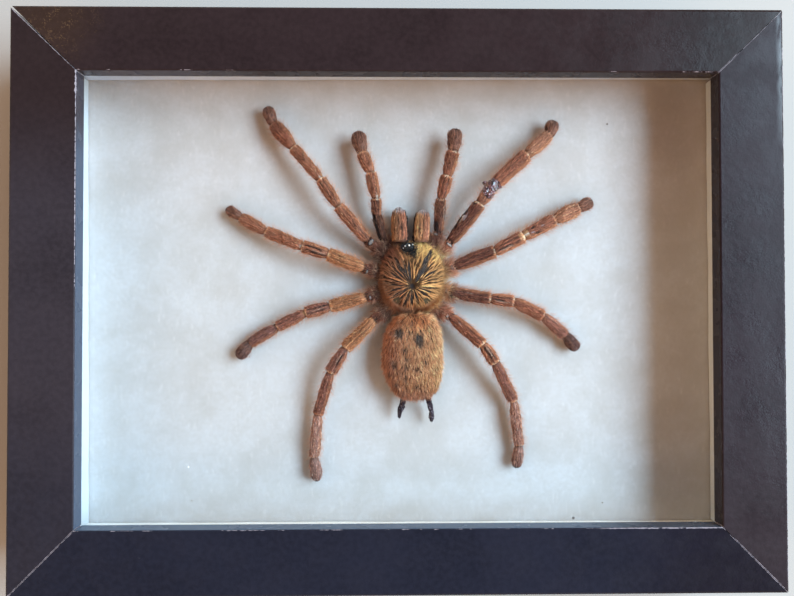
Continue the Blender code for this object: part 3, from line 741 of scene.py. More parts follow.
def feed(tree, shader, colour, mask, smooth, rough):
    """Gives a shader its colour, and a roughness that goes from smooth to rough along a mask."""
    tree.links.new(colour, shader.inputs["Base Color"])
    tree.links.new(spread(tree, mask, 0.0, 1.0, smooth, rough), shader.inputs["Roughness"])


def set_bump(tree, shader, height, distance_mm, strength=1.0):
    """Relief from a height mask, its full depth given in millimetres."""
    inputs = {"Height": height, "Distance": distance_mm * MM, "Strength": strength}
    tree.links.new(add_node(tree, "ShaderNodeBump", inputs).outputs[0], shader.inputs["Normal"])


def coat_node(tree, unevenness):
    """The Coat group on the painted tint."""
    inputs = {"Tint": attribute(tree, "tint", "Color"), "Place": object_place(tree), "Unevenness": unevenness}
    return group_node(tree, "Coat", inputs)


def coat_material(name, unevenness, dull=True):
    """Hair or hairy skin: the painted tint, varied by the Coat group."""
    material, tree, shader = new_material(name)
    coat = coat_node(tree, unevenness)
    tree.links.new(coat["Colour"], shader.inputs["Base Color"])
    tree.links.new(coat["Roughness"], shader.inputs["Roughness"])
    shader.inputs["Specular IOR Level"].default_value = 0.2 if dull else 0.08
    return material


def make_groups():
    make_mottle_group()
    make_worn_edge_group()
    make_speck_group()
    make_coat_group()


# ---- Box frame ----

def rail_profile(trim):
    """The rail's section as rows of: distance in from the outer edge, and height above the back.
    The front corners are quarter circles, and the lip is shorter by the trim. Returns the rows,
    and for each row 1 where the board is bare and 1 on the lip's inner wall."""
    full, depth = FRAME_HALF[0] - OPENING_HALF[0], FRAME_DEPTH
    width, wall = full - trim, full - LIP_WIDTH
    outer, inner = OUTER_EDGE_RADIUS, INNER_EDGE_RADIUS
    lip = depth - LIP_DEPTH
    side = [(0.0, height) for height in np.linspace(BACK_CHAMFER, depth - outer, 9)]
    round_outer = [
        (outer - outer * math.cos(a), depth - outer + outer * math.sin(a))
        for a in np.linspace(0, math.pi / 2, 9)[1:]
    ]
    face = [(x, depth) for x in np.linspace(outer, width - inner, 16)[1:]]
    round_inner = [
        (width - inner + inner * math.sin(a), depth - inner + inner * math.cos(a))
        for a in np.linspace(0, math.pi / 2, 7)[1:]
    ]
    drop = [(width, height) for height in np.linspace(depth - inner, lip, 5)[1:]]
    under = [(x, lip) for x in np.linspace(width, wall, 5)[1:]]
    pocket = [(wall, height) for height in np.linspace(lip, 0.0, 7)[1:]]
    back = [(x, 0.0) for x in (FOIL_TURN_IN + 0.1, FOIL_TURN_IN, BACK_CHAMFER)]
    points = np.array(side + round_outer + face + round_inner + drop + under + pocket + back)
    bare = np.zeros(len(points))
    bare[len(points) - len(back) - len(pocket): len(points) - 2] = 1.0
    on_wall = smooth_step(width - 0.1, width - 0.02, points[:, 0])
    return points, bare, on_wall * smooth_step(depth, depth - inner, points[:, 1])


def mitre_stations(half):
    """Shares of a rail's half length, close together near its mitred ends."""
    near = half - np.array((0.0, 0.12, 0.25, 0.45, 0.8, 1.5, 3.0, 6.0))
    inner = np.linspace(0, near[-1], 16)[:-1]
    stations = np.concatenate([inner, near[::-1]])
    return np.concatenate([-stations[:0:-1], stations]) / half


def add_rail(name, half_length, edge_distance, turn, gaps, trims, material):
    """A rail along X, its section carried from one mitre to the other and then turned about Z to
    its side. A point's place along the rail is its share of the half length at its own distance
    from the outer edge, less the gap, which grows towards the outer edge on an open mitre. The
    mitres run to the corners that the trims of this rail and its neighbours give. The long faces
    waver a little, as foil on board does."""
    own, *others = trims
    profile, bare, wall = rail_profile(own)
    shares = mitre_stations(half_length)
    inwards, height = profile[:, 0], profile[:, 1]
    width = inwards.max()
    start, end = [MITRE_GAP + (gap - MITRE_GAP) * (1 - inwards / width) for gap in gaps]
    gap = np.where(shares[:, None] < 0, start, end)
    low, high = [(width + own - other) / width for other in others]
    slope = np.where(shares[:, None] < 0, low, high)
    along = shares[:, None] * (half_length - inwards * slope - gap)
    points = joined(along, inwards - edge_distance, height)
    waver = ripple(points * (1.0, 2.0, 0.5), 42.0, len(name)) * 0.05 + ripple(points, 9.0, 3) * 0.012
    sunk = np.clip(np.minimum(inwards - OUTER_EDGE_RADIUS, width - INNER_EDGE_RADIUS - inwards) / 3, 0, 1)
    front = height > FRAME_DEPTH - 0.01
    points[..., 2] -= np.where(front, 0.02 + np.abs(waver) * sunk, 0.0)
    rail = skin(name, turned(points, turn))
    rail.data.set_sharp_from_angle(angle=SHARP_FROM)
    front_run = np.where(height > FRAME_DEPTH - LIP_DEPTH - 0.01, 0.0, 50.0)
    from_outer = np.abs(inwards - 0.3 * OUTER_EDGE_RADIUS) + front_run
    from_inner = np.abs(inwards - width + 0.15) + front_run
    values = {
        "to_mitre": (1 - np.abs(shares[:, None])) * half_length,
        "mitre_side": np.where(shares[:, None] < 0, -1.0, 1.0),
        "bare": bare,
        "wall": wall,
        "from_outer": from_outer + np.maximum(0, FRAME_DEPTH - 0.3 - height),
        "from_inner": from_inner + np.maximum(0, FRAME_DEPTH - 0.12 - height),
    }
    for label, value in values.items():
        full = np.zeros(len(rail.data.vertices))
        full[: along.size] = np.broadcast_to(value, along.shape).ravel()
        measure(rail, full, label)
    return finish_piece(rail, material, "frame_foil", name)


def turned(points, degrees):
    """Points turned about Z."""
    cosine, sine = math.cos(math.radians(degrees)), math.sin(math.radians(degrees))
    return points @ np.array(((cosine, sine, 0), (-sine, cosine, 0), (0, 0, 1)))


def worn_lines(tree, place, width, wear):
    """Where the foil is worn through: the greatest of the lines of a rail's table, each with its
    share of the width, and kept to its end of the rail and its reach from the mitre there."""
    side, to_mitre = attribute(tree, "mitre_side"), attribute(tree, "to_mitre")
    worn = None
    for label, unbroken, share, end, reach in wear:
        line = group_node(tree, "Worn edge", {
            "Place": place, "Distance": attribute(tree, label), "Width": width * share, "Unbroken": unbroken,
        })["Mask"]
        line = times(tree, line, spread(tree, to_mitre, reach * 0.8, reach, 1.0, 0.0))
        if end:
            line = times(tree, line, arithmetic(tree, "GREATER_THAN", times(tree, side, end), 0.0))
        worn = line if worn is None else arithmetic(tree, "MAXIMUM", worn, line)
    return worn


def corner_film(tree, place, colour):
    """A brownish film with golden grains round the top rail's left corner, gone within 17 mm."""
    near = spread(tree, distance_to(tree, place, (-92.0, 75.0, FRAME_DEPTH)), 3.0, 17.0, 1.0, 0.0)
    film = specks(tree, place, 0.32, 0.12, 0.55)
    patchy = mottle(tree, place, 2.2, 0.42, 0.6)
    gold = times(tree, times(tree, film, patchy), near)
    colour = mixed(tree, times(tree, near, 0.30), colour, (0.055, 0.030, 0.015))
    return mixed(tree, times(tree, gold, 0.55), colour, (0.17, 0.105, 0.055))


def polish_edge(tree, shader, forward):
    """A glossy coat, broken by ripples, along the front part of the right rail's outer edge."""
    ripples = mottle(tree, object_place(tree, (1.0, 0.4, 1.0)), 2.4, 0.35, 0.6)
    edge = times(tree, spread(tree, attribute(tree, "from_outer"), 0.7, 2.2, 0.4, 0.0), ripples)
    tree.links.new(times(tree, edge, spread(tree, forward, 30.0, 66.0)), shader.inputs["Coat Weight"])
    shader.inputs["Coat Roughness"].default_value = 0.12


def foil_material(rail, finish):
    """Dark satin foil with a faint grain and dust, each rail's foil painted paler or darker by its
    table as painted light and reflection. The lip's inner wall has a colour of its own, a painted
    reflection and light; both change along the rail by their tables in painted light and shade, and
    its pale core is worn through along the edges as thin broken lines. Inside its edge at the back
    the board is bare."""
    wall_light, wear = RAIL_WALL_LIGHT_AND_WEAR[rail]
    material, tree, shader = new_material("foil " + rail)
    place = object_place(tree)
    along = add_node(tree, "ShaderNodeSeparateXYZ", {0: place}).outputs
    grain = mottle(tree, object_place(tree, (0.25, 0.25, 1.0)), 0.35, 0.3, 0.7)
    # painted light: each rail's foil is made paler or darker by how the light falls on it
    foil = scaled(finish.foil, RAIL_PAINTED_LIGHT[rail])
    colour = mixed(tree, mottle(tree, place, 24.0, 0.35, 0.7), foil, scaled(foil, 0.74))
    colour = mixed(tree, times(tree, grain, 0.35), colour, scaled(foil, 1.5))
    # painted light and shade along the foil
    for axis, start, end, share in FOIL_LIGHT_FADES[rail]:
        faded = mixed(tree, 1.0, colour, share, "MULTIPLY")
        colour = mixed(tree, spread(tree, along[axis], start, end), colour, faded)
    # painted light and shade along the lip's inner wall, such as the top rail's shadow
    for axis, start, end, share in WALL_LIGHT_FADES[rail]:
        fade = spread(tree, along[axis], start, end)
        wall_light = mixed(tree, fade, wall_light, scaled(wall_light, share))
    # the lip's inner wall takes its painted reflection and light
    colour = mixed(tree, attribute(tree, "wall"), colour, wall_light)
    dust = specks(tree, place, 3.4, 0.085, 0.16)
    colour = mixed(tree, times(tree, dust, 0.30), colour, (0.16, 0.15, 0.15))
    if rail == "rail_top":
        colour = corner_film(tree, place, colour)
    if rail == "rail_right":
        polish_edge(tree, shader, along[1])
    worn = worn_lines(tree, place, finish.wear, wear)
    colour = mixed(tree, times(tree, worn, 0.75), colour, WORN_CORE)
    bare = attribute(tree, "bare")
    fibre = mottle(tree, place, 0.5, 0.3, 0.7)
    board = mixed(tree, fibre, tuple(finish.fibre), scaled(finish.fibre, 0.7))
    tree.links.new(mixed(tree, bare, colour, board), shader.inputs["Base Color"])
    smooth, dull = finish.foil_roughness - 0.05, finish.foil_roughness + 0.07
    satin = spread(tree, mottle(tree, place, 7.0, 0.3, 0.7), 0.0, 1.0, smooth, dull)
    rough = add_node(tree, "ShaderNodeMix", {0: bare, 2: satin, 3: 0.9})
    tree.links.new(rough.outputs[0], shader.inputs["Roughness"])
    shader.inputs["Specular IOR Level"].default_value = FOIL_SPECULAR[rail]
    waves = mottle(tree, place, 2.6, 0.2, 0.8)
    relief = arithmetic(tree, "ADD", arithmetic(tree, "ADD", grain, fibre), times(tree, waves, 3.0))
    set_bump(tree, shader, relief, 0.01, 0.6)
    return material


def add_liner(name, material):
    """A strip of card on edge inside the rails: its section carried along its length, the inner
    face leaning in or out at its foot in step with the share of the length, and wavering a
    little, as card that was cut by hand does."""
    distance, half_length, thickness, turn, leans = LINERS[name]
    low, high = [corner.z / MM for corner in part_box(name)]
    shares = np.linspace(-1, 1, 90)[:, None]
    heights = np.concatenate([np.linspace(low, high, 9), np.linspace(high, low, 9)])
    inner = np.repeat((1.0, 0.0), 9)
    lean = leans[0] + (leans[1] - leans[0]) * (shares + 1) / 2
    foot = ((high - heights) / (high - low)) ** 1.3
    wave = 0.05 * np.sin(shares * 9.0 + distance) + 0.03 * np.sin(shares * 23.0)
    across = inner * (thickness + (lean + wave) * foot) - distance
    strip = skin(name, turned(joined(shares * half_length, across, heights), turn))
    strip.data.set_sharp_from_angle(angle=SHARP_FROM)
    return finish_piece(strip, material, "liner_white", name)


# x, y, radius and colour of the flecks that lie on the paper
PAPER_FLECKS = (
    (50.7, -63.4, 0.50, (0.16, 0.15, 0.15)),
    (61.3, 51.8, 0.33, (0.16, 0.12, 0.10)),
    (59.2, -59.0, 0.30, (0.26, 0.23, 0.20)),
    (-59.9, -57.8, 0.25, (0.35, 0.30, 0.26)),
    (-60.9, -48.1, 0.32, (0.97, 0.98, 1.0)),
)


def paper_material(finish):
    """Mottled bluish-white paper: broad clouds, finer marbling, short fibres and a few flecks, and a
    painted warm shade towards the top."""
    material, tree, shader = new_material("mottled paper")
    place = object_place(tree)
    cloud = mottle(tree, place, 13.0, 0.34, 0.72)
    marble = mottle(tree, place, 3.6, 0.36, 0.66)
    fibre = mottle(tree, object_place(tree, (1.0, 0.3, 1.0), 0.5), 0.8, 0.55, 0.75)
    pale, dull = tuple(finish.paper), tuple(finish.paper_cloud)
    colour = mixed(tree, times(tree, cloud, 0.55), pale, dull)
    colour = mixed(tree, times(tree, marble, 0.20), colour, dull)
    colour = mixed(tree, times(tree, fibre, 0.13), colour, (0.95, 0.96, 0.97))
    pulp = mottle(tree, place, 1.1, 0.35, 0.65)
    colour = mixed(tree, times(tree, pulp, 0.22), colour, dull)
    # painted shade: the paper is made warmer towards the top, where the top rail shades it
    warm_top_shade = mixed(tree, 1.0, colour, (0.99, 0.90, 0.85), "MULTIPLY")
    forward = add_node(tree, "ShaderNodeSeparateXYZ", {0: place}).outputs[1]
    colour = mixed(tree, spread(tree, forward, 8.0, 52.0), colour, warm_top_shade)
    for x, y, size, tint in PAPER_FLECKS:
        dot = spread(tree, distance_to(tree, place, (x, y, BACKING)), size * 0.6, size, 1.0, 0.0)
        colour = mixed(tree, dot, colour, tint)
    feed(tree, shader, colour, marble, 0.78, 0.92)
    shader.inputs["Specular IOR Level"].default_value = 0.2
    set_bump(tree, shader, arithmetic(tree, "ADD", marble, fibre), 0.008)
    return material


def liner_material(name, finish):
    """White card with a faint tooth, a little greyer in patches, each strip painted paler or darker by
    the light that falls on it.
    """
    material, tree, shader = new_material("card " + name)
    place = object_place(tree)
    tooth = mottle(tree, place, 0.5, 0.3, 0.7)
    patch = mottle(tree, place, 9.0, 0.35, 0.7)
    # painted light: each strip's card is paler or darker by the light that falls on it
    white = tuple(np.minimum(scaled(finish.liner, LINER_PAINTED_LIGHT[name]), 1.0))
    colour = mixed(tree, times(tree, patch, 0.35), white, scaled(white, 0.86))
    feed(tree, shader, colour, tooth, 0.6, 0.8)
    set_bump(tree, shader, tooth, 0.02)
    return material


def glass_material():
    """Clear glass that lets light straight through to what is behind it, faintly smeared."""
    material, tree, shader = new_material("clear glass")
    shader.inputs["Base Color"].default_value = (0.97, 0.985, 0.98, 1.0)
    shader.inputs["Transmission Weight"].default_value = 1.0
    shader.inputs["IOR"].default_value = 1.5
    smear = mottle(tree, object_place(tree), 16.0, 0.4, 0.8)
    tree.links.new(spread(tree, smear, 0.0, 1.0, 0.0, 0.03), shader.inputs["Roughness"])
    through = tree.nodes.new("ShaderNodeBsdfTransparent")
    ray = tree.nodes.new("ShaderNodeLightPath").outputs
    soft = arithmetic(tree, "MAXIMUM", ray["Is Shadow Ray"], ray["Is Diffuse Ray"])
    both = tree.nodes.new("ShaderNodeMixShader")
    for socket, source in zip(both.inputs, (soft, shader.outputs[0], through.outputs[0])):
        tree.links.new(source, socket)
    tree.links.new(both.outputs[0], tree.nodes["Material Output"].inputs["Surface"])
    return material


def panel_material(finish):
    """Brown hardboard: pressed fibres, a soft mesh of darker flecks."""
    material, tree, shader = new_material("hardboard")
    place = object_place(tree)
    fibre = mottle(tree, object_place(tree, (0.35, 1.0, 1.0), 0.3), 0.7, 0.3, 0.7)
    cloud = mottle(tree, place, 18.0, 0.3, 0.7)
    flecks = specks(tree, place, 1.3, 0.3, 0.35)
    brown = tuple(finish.panel)
    colour = mixed(tree, fibre, brown, scaled(brown, 0.62))
    colour = mixed(tree, times(tree, cloud, 0.5), colour, scaled(brown, 1.35))
    colour = mixed(tree, times(tree, flecks, 0.45), colour, scaled(brown, 0.4))
    feed(tree, shader, colour, fibre, 0.55, 0.8)
    set_bump(tree, shader, fibre, 0.05)
    return material


def steel_material():
    """Plated steel with a fine grain, dulled and spotted."""
    material, tree, shader = new_material("plated steel")
    place = object_place(tree)
    grain = mottle(tree, object_place(tree, (0.12, 1.0, 1.0), 0.8), 0.12, 0.3, 0.7)
    spots = mottle(tree, place, 1.6, 0.55, 0.72)
    colour = mixed(tree, times(tree, spots, 0.5), (0.62, 0.60, 0.55), (0.30, 0.24, 0.18))
    tree.links.new(colour, shader.inputs["Base Color"])
    shader.inputs["Metallic"].default_value = 1.0
    tree.links.new(spread(tree, grain, 0.0, 1.0, 0.26, 0.42), shader.inputs["Roughness"])
    set_bump(tree, shader, grain, 0.008)
    return material


def glue_material():
    """Clear glue gone slightly yellow, glossy, with small bubbles."""
    material, tree, shader = new_material("clear glue")
    place = object_place(tree)
    bubbles = specks(tree, place, 0.7, 0.14, 0.5)
    cloud = mottle(tree, place, 1.5, 0.3, 0.7)
    colour = mixed(tree, cloud, (0.80, 0.74, 0.58), (0.66, 0.56, 0.38))
    colour = mixed(tree, times(tree, bubbles, 0.6), colour, (0.93, 0.91, 0.85))
    feed(tree, shader, colour, cloud, 0.12, 0.25)
    set_bump(tree, shader, bubbles, 0.05)
    return material


def dress_nodes(names, material):
    """Gives CAD nodes a finished material in place of their plain ones."""
    for name in names:
        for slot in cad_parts[name].material_slots:
            slot.material = material


class SPECIMEN_OT_rails(bpy.types.Operator):
    """Four mitred rails wrapped in dark foil"""

    bl_idname = "specimen.rails"
    bl_label = "Rails"

    def execute(self, context):
        finish = context.scene.frame_finish
        half_width, half_height = FRAME_HALF
        closed, opened, trim = MITRE_GAP, OPEN_MITRE_GAP, TOP_LIP_TRIM
        # name, half length, distance of its outer edge, turn, gaps at its two ends, and the trims
        # of its own lip and of its neighbours' at the two ends
        rails = (
            ("rail_bottom", half_width, half_height, 0, (closed, closed), (0.0, 0.0, 0.0)),
            ("rail_right", half_height, half_width, 90, (closed, closed), (0.0, 0.0, trim)),
            ("rail_top", half_width, half_height, 180, (closed, opened), (trim, 0.0, 0.0)),
            ("rail_left", half_height, half_width, 270, (opened, closed), (0.0, trim, 0.0)),
        )
        for name, half, distance, turn, gaps, trims in rails:
            add_rail(name, half, distance, turn, gaps, trims, foil_material(name, finish))
        return {"FINISHED"}


class SPECIMEN_OT_layers(bpy.types.Operator):
    """Glass, white liner, mottled paper, back panel and the dab of glue"""

    bl_idname = "specimen.layers"
    bl_label = "Glass, liner and backing"

    def execute(self, context):
        finish = context.scene.frame_finish
        dress_nodes(["glass"], glass_material())
        for name in LINERS:
            add_liner(name, liner_material(name, finish))
        dress_nodes(["backing_board"], paper_material(finish))
        dress_nodes(["back_panel"], panel_material(finish))
        dress_nodes(["glue_pad"], glue_material())
        return {"FINISHED"}


class SPECIMEN_OT_fittings(bpy.types.Operator):
    """Steel clips and the toothed hanger on the back"""

    bl_idname = "specimen.fittings"
    bl_label = "Clips and hanger"

    def execute(self, context):
        names = [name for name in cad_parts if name.startswith(("clip", "sawtooth", "hanger"))]
        if not names:
            raise RuntimeError("the frame holds no clips or hanger")
        dress_nodes(names, steel_material())
        return {"FINISHED"}


# ---- Limbs ----

STATION_STEP = 0.1


class Limb:
    """A limb's centreline, girth and segments, sampled every tenth of a millimetre from the body
    outwards. The centreline runs straight from joint to joint and is rounded off over 1 mm."""

    def __init__(self, name, segments, joints, widths):
        self.name = name
        joints = np.array(joints, float) + (0, 0, BACKING)
        lengths = np.linalg.norm(np.diff(joints, axis=0), axis=1)
        ends = np.concatenate([[0], np.cumsum(lengths)])
        self.segments, self.widths, self.ends, self.length = segments, np.array(widths), ends, ends[-1]
        self.at = np.arange(0, self.length + STATION_STEP / 2, STATION_STEP)
        centre = np.stack([np.interp(self.at, ends, joints[:, axis]) for axis in range(3)], axis=-1)
        self.centre = self.rounded(centre, 5)
        tangent = unit(self.rounded(np.gradient(self.centre, axis=0), 6))
        self.tangent = tangent
        self.aside = unit(np.cross(tangent, (0.0, 0.0, 1.0)))
        self.upward = np.cross(self.aside, tangent)
        places, girths = self.cad_girth()
        self.radius = self.rounded(np.interp(self.at, places, girths)[:, None], 7)[:, 0]

    @staticmethod
    def rounded(values, reach):
        """The running mean over this many stations to each side, the ends kept."""
        padded = np.concatenate([
            2 * values[0] - values[reach:0:-1], values, 2 * values[-1] - values[-2: -reach - 2: -1],
        ])
        total = np.cumsum(np.concatenate([np.zeros((1, values.shape[1])), padded]), axis=0)
        width = 2 * reach + 1
        return (total[width:] - total[:-width]) / width

    def cad_girth(self):
        """Places along the limb and the CAD's half widths there: each segment's own, times how full
        it is, and the waist's share of its neighbours' mean at a joint."""
        places, girths = [0.0], [JOINT_WAIST * self.widths[0] / 2]
        last = len(self.widths) - 1
        for i, width in enumerate(self.widths):
            start, length = self.ends[i], self.ends[i + 1] - self.ends[i]
            for share, swell in TIP_SWELL if i == last else SEGMENT_SWELL:
                places.append(start + share * length)
                girths.append(swell * width / 2)
            if i < last:
                places.append(self.ends[i + 1])
                girths.append(JOINT_WAIST * (width + self.widths[i + 1]) / 4)
        return places, girths

    def read(self, values, s):
        """Station values at distances s from the body."""
        if values.ndim == 1:
            return np.interp(s, self.at, values)
        return np.stack([np.interp(s, self.at, values[:, axis]) for axis in range(values.shape[1])], axis=-1)

    def where(self, u):
        """For shares u of the limb's length: the segment's number, the share of its length, and the
        distances to its near and far ends in millimetres."""
        s = np.clip(u, 0, 1) * self.length
        number = np.clip(np.searchsorted(self.ends, s, side="right") - 1, 0, len(self.widths) - 1)
        near = s - self.ends[number]
        length = self.ends[number + 1] - self.ends[number]
        return number, near / length, near, length - near

    def is_segment(self, number, *names):
        """Whether the segments of these numbers have one of the names."""
        return np.isin(np.array(self.segments)[number], names)

    def shape(self, u, v):
        """The bare skin. v goes round from 0 at the side through 0.25 at the top. Each segment
        widens towards its far end, dips at the joints' soft folds and is creased lengthwise on
        top, as a dried leg is. The tip is blunt and a little uneven."""
        u, v = np.broadcast_arrays(np.clip(u, 0, 1), v)
        s = u * (self.length - TIP_ROOM)
        angle = 2 * math.pi * v
        number, share, near, far = self.where(u)
        flare = self.by_segment(SEGMENT_FLARE, number) * (2 * np.minimum(share, 0.8) / 0.8 - 1)
        oval = self.by_segment(SEGMENT_OVAL, number)
        oval = np.where(self.is_segment(number, "metatarsus"), LEAF_OVALS.get(self.name, oval), oval)
        oval = oval * (np.sin(math.pi * np.clip(share, 0, 1)) ** 0.7 - 0.78)
        radius = self.read(self.radius, s) * SKIN_SHARE * (1 + flare + oval)
        near_fold = np.where(number > 0, 0.12 * bell(near, 0.12, 0.36), 0)
        far_fold = np.where(number < len(self.widths) - 1, 0.10 * bell(far, 0.0, 0.10), 0)
        radius = radius * (1 - (near_fold + far_fold))
        rim = np.where(self.by_segment(SEGMENT_RIMS, number) > 0, 0.09, 0.0) * bell(far, 0.28, 0.18)
        radius = radius + rim * (1 + 0.6 * np.sin(7 * angle + number))
        run = smooth_step(0.06, 0.2, share) * smooth_step(0.97, 0.8, share)
        crease = 0.12 * np.where(self.is_segment(number, *CREASED), run, 0)
        crease = crease * creases(from_top(np.degrees(angle)))
        radius = radius - crease * (1 + 0.4 * np.sin(9 * share + number))
        radius = radius + 0.05 * np.sin(3 * angle + 1.7 * s + number) + 0.045 * np.sin(5 * angle - 0.9 * s)
        radius = radius + 0.06 * np.sin(2 * angle + 0.8 * s + self.length)
        to_tip = self.length - TIP_ROOM - s
        cap = np.sqrt(np.clip(1 - (1 - np.clip(to_tip / TIP_TAPER, 0, 1)) ** TIP_BLUNTNESS, 0.0, 1))
        lobe = np.where(self.is_segment(number, "tarsus"), 1, 0) * smooth_step(1.4, 0.2, to_tip) * cap
        forward = lobe * (0.10 * np.cos(2 * angle) + 0.06 * np.sin(3 * angle + self.length))
        out = self.outward(s, angle, SKIN_HEIGHT)
        points = self.read(self.centre, s) + (radius * cap)[..., None] * out
        return points + forward[..., None] * self.read(self.tangent, s)

    def by_segment(self, table, number):
        """What a table gives for the names of the segments of these numbers, or 0."""
        return np.take([table.get(name, 0.0) for name in self.segments], number)

    def outward(self, s, angle, height=1.0):
        """The way out from the centreline: the cosine of the angle to the side, and its sine times
        the height upwards."""
        aside, upward = self.read(self.aside, s), self.read(self.upward, s)
        return np.cos(angle)[..., None] * aside + (np.sin(angle) * height)[..., None] * upward

    def direction(self, u):
        """The way to the tip."""
        return self.read(self.tangent, np.clip(u, 0, 1) * self.length)

    def lit_side(self):
        """The sign of the angle from the top at which the limb faces the right and the front."""
        facing = self.aside.mean(axis=0) @ np.array((1.0, 0.3, 0.0))
        return -1.0 if facing > 0 else 1.0


TIP_ROOM = 0.45  # between the bare tip and the ends of its hairs
TIP_TAPER = 2.6  # length in mm over which the tip closes
TIP_BLUNTNESS = 2.1  # 2 would be the end of an ellipsoid
SKIN_HEIGHT = 0.96  # of the bare skin beside its width
CREASED = ("femur", "bent femur", "patella", "tibia")
# How much wider or narrower than its middle a segment is at its far and near ends, and how much
# its middle swells
SEGMENT_FLARE = {"femur": 0.04, "patella": 0.05, "tibia": 0.04, "metatarsus": 0.02, "tarsus": 0.02}
SEGMENT_OVAL = {"femur": 0.03, "patella": 0.05, "tibia": 0.03, "metatarsus": 0.09, "tarsus": 0.12}
# The same swelling for the metatarsi that are broader, how bare the creases are, and how wide the
# pale rims are in mm
LEAF_OVALS = {"leg_1_left": 0.30, "leg_2_right": 0.24, "leg_3_right": 0.18, "leg_2_left": 0.12}
CREASE_DEPTHS = {"femur": 0.6, "bent femur": 0.6, "patella": 0.95, "tibia": 0.35}
SEGMENT_RIMS = {"femur": 0.40, "patella": 0.42, "tibia": 0.46, "metatarsus": 0.30}
# Marks on limbs: the joint that they are counted from, their start and end from there in mm, their
# turn from the top and half width in degrees, positive to the left of the limb, and their colour
PALE, SLIT, LILAC, STRAW = (0.80, 0.72, 0.66), (0.016, 0.013, 0.014), (0.62, 0.54, 0.60), (0.72, 0.42, 0.22)
FADED = (0.55, 0.41, 0.34)
LIMB_MARKS = {
    "palp_right": ((2, 3.4, 8.0, -64, 9, SLIT), (2, 3.6, 7.8, -47, 6, FADED), (2, 0.2, 3.4, 35, 30, SLIT)),
    "palp_left": ((2, 0.5, 8.0, 55, 26, SLIT), (4, -0.5, 0.7, -30, 16, PALE)),
    "leg_1_left": ((4, -0.5, 0.6, -14, 13, PALE), (4, -0.9, 0.9, -58, 12, STRAW), (2, 1.0, 7.0, -6, 5, SLIT)),
    "leg_2_left": (
        (3, 0.4, 4.6, 24, 8, SLIT), (3, 0.8, 3.8, 8, 5, FADED), (3, 2.0, 6.2, -22, 7, SLIT),
        (4, -0.4, 0.6, 10, 22, PALE),
    ),
    "leg_3_left": ((3, 0.5, 4.0, -16, 8, SLIT), (3, 2.0, 5.4, 4, 5, FADED), (4, -0.4, 0.5, 0, 25, STRAW)),
    "leg_4_left": ((3, 0.6, 5.0, 14, 7, SLIT), (3, 1.0, 4.4, 0, 4, FADED)),
    "leg_1_right": (
        (2, 0.6, 10.5, 70, 22, SLIT), (2, 7.3, 9.0, 36, 8, LILAC), (2, 6.0, 8.6, 50, 8, PALE),
        (3, -1.6, 0.2, 52, 16, SLIT),
    ),
    "leg_2_right": (
        (4, -1.3, 1.5, 8, 40, STRAW), (4, 0.1, 1.5, -4, 13, PALE), (4, 2.5, 3.8, 30, 12, SLIT),
        (4, 2.9, 4.6, -34, 12, SLIT), (4, 2.3, 3.1, -12, 7, LILAC), (4, 5.4, 6.4, 6, 5, LILAC),
        (3, 0.6, 4.4, -16, 7, SLIT), (3, 1.6, 4.8, -32, 5, FADED),
    ),
    "leg_3_right": (
        (3, 0.4, 3.6, -8, 9, SLIT), (3, 1.4, 4.8, -24, 6, FADED), (3, 0.4, 5.0, 22, 7, SLIT),
        (2, 3.0, 7.0, 18, 3, FADED),
    ),
    "leg_4_right": ((3, 0.6, 4.6, -10, 8, SLIT), (3, 1.0, 4.0, 6, 5, FADED), (2, 3.4, 4.0, 8, 4, PALE)),
}
# The hair of each segment of a limb by the name of its tone, from the body outwards
LIMB_TONES = {
    "palp_left": ("sable", "sable", "sable", "cocoa", "rust", "rust", "dusk"),
    "palp_right": ("rust", "cocoa", "cocoa", "brick", "brick", "dusk"),
    "leg_1_left": ("sable", "cocoa", "rust", "rust", "rust", "brick", "dusk"),
    "leg_2_left": ("sable", "cocoa", "amber", "rust", "rust", "rust", "dusk"),
    "leg_3_left": ("sable", "cocoa", "amber", "russet", "russet", "plum", "slate"),
    "leg_4_left": ("sable", "cocoa", "amber", "russet", "russet", "ash", "mouse"),
    "leg_1_right": ("honey", "rust", "umber", "rust", "brick", "fawn", "dusk"),
    "leg_2_right": ("honey", "rust", "umber", "brick", "brick", "fawn", "dusk"),
    "leg_3_right": ("honey", "amber", "umber", "brick", "brick", "russet", "slate"),
    "leg_4_right": ("brick", "brick", "brick", "rust", "russet", "ash", "mouse"),
}


def creases(turn):
    """The two lines along the top of a dried segment, by the turn from the top in degrees."""
    return bell(turn, -21, 7) + bell(turn, 19, 8)


def limb_tones(name, looks):
    """The tones of a limb's segments as colours."""
    tones = {
        "sable": (0.16, 0.072, 0.048), "umber": tuple(looks.umber), "rust": tuple(looks.rust),
        "cocoa": (0.23, 0.095, 0.065), "brick": (0.375, 0.141, 0.087), "russet": (0.39, 0.175, 0.135),
        "amber": tuple(looks.amber), "fawn": (0.51, 0.231, 0.143), "ash": (0.60, 0.340, 0.280),
        "dusk": (0.30, 0.140, 0.100), "slate": (0.20, 0.110, 0.098), "mouse": (0.46, 0.265, 0.225),
        "plum": (0.29, 0.142, 0.126), "honey": (0.60, 0.335, 0.150),
    }
    return np.array([tones[tone] for tone in LIMB_TONES[name]])


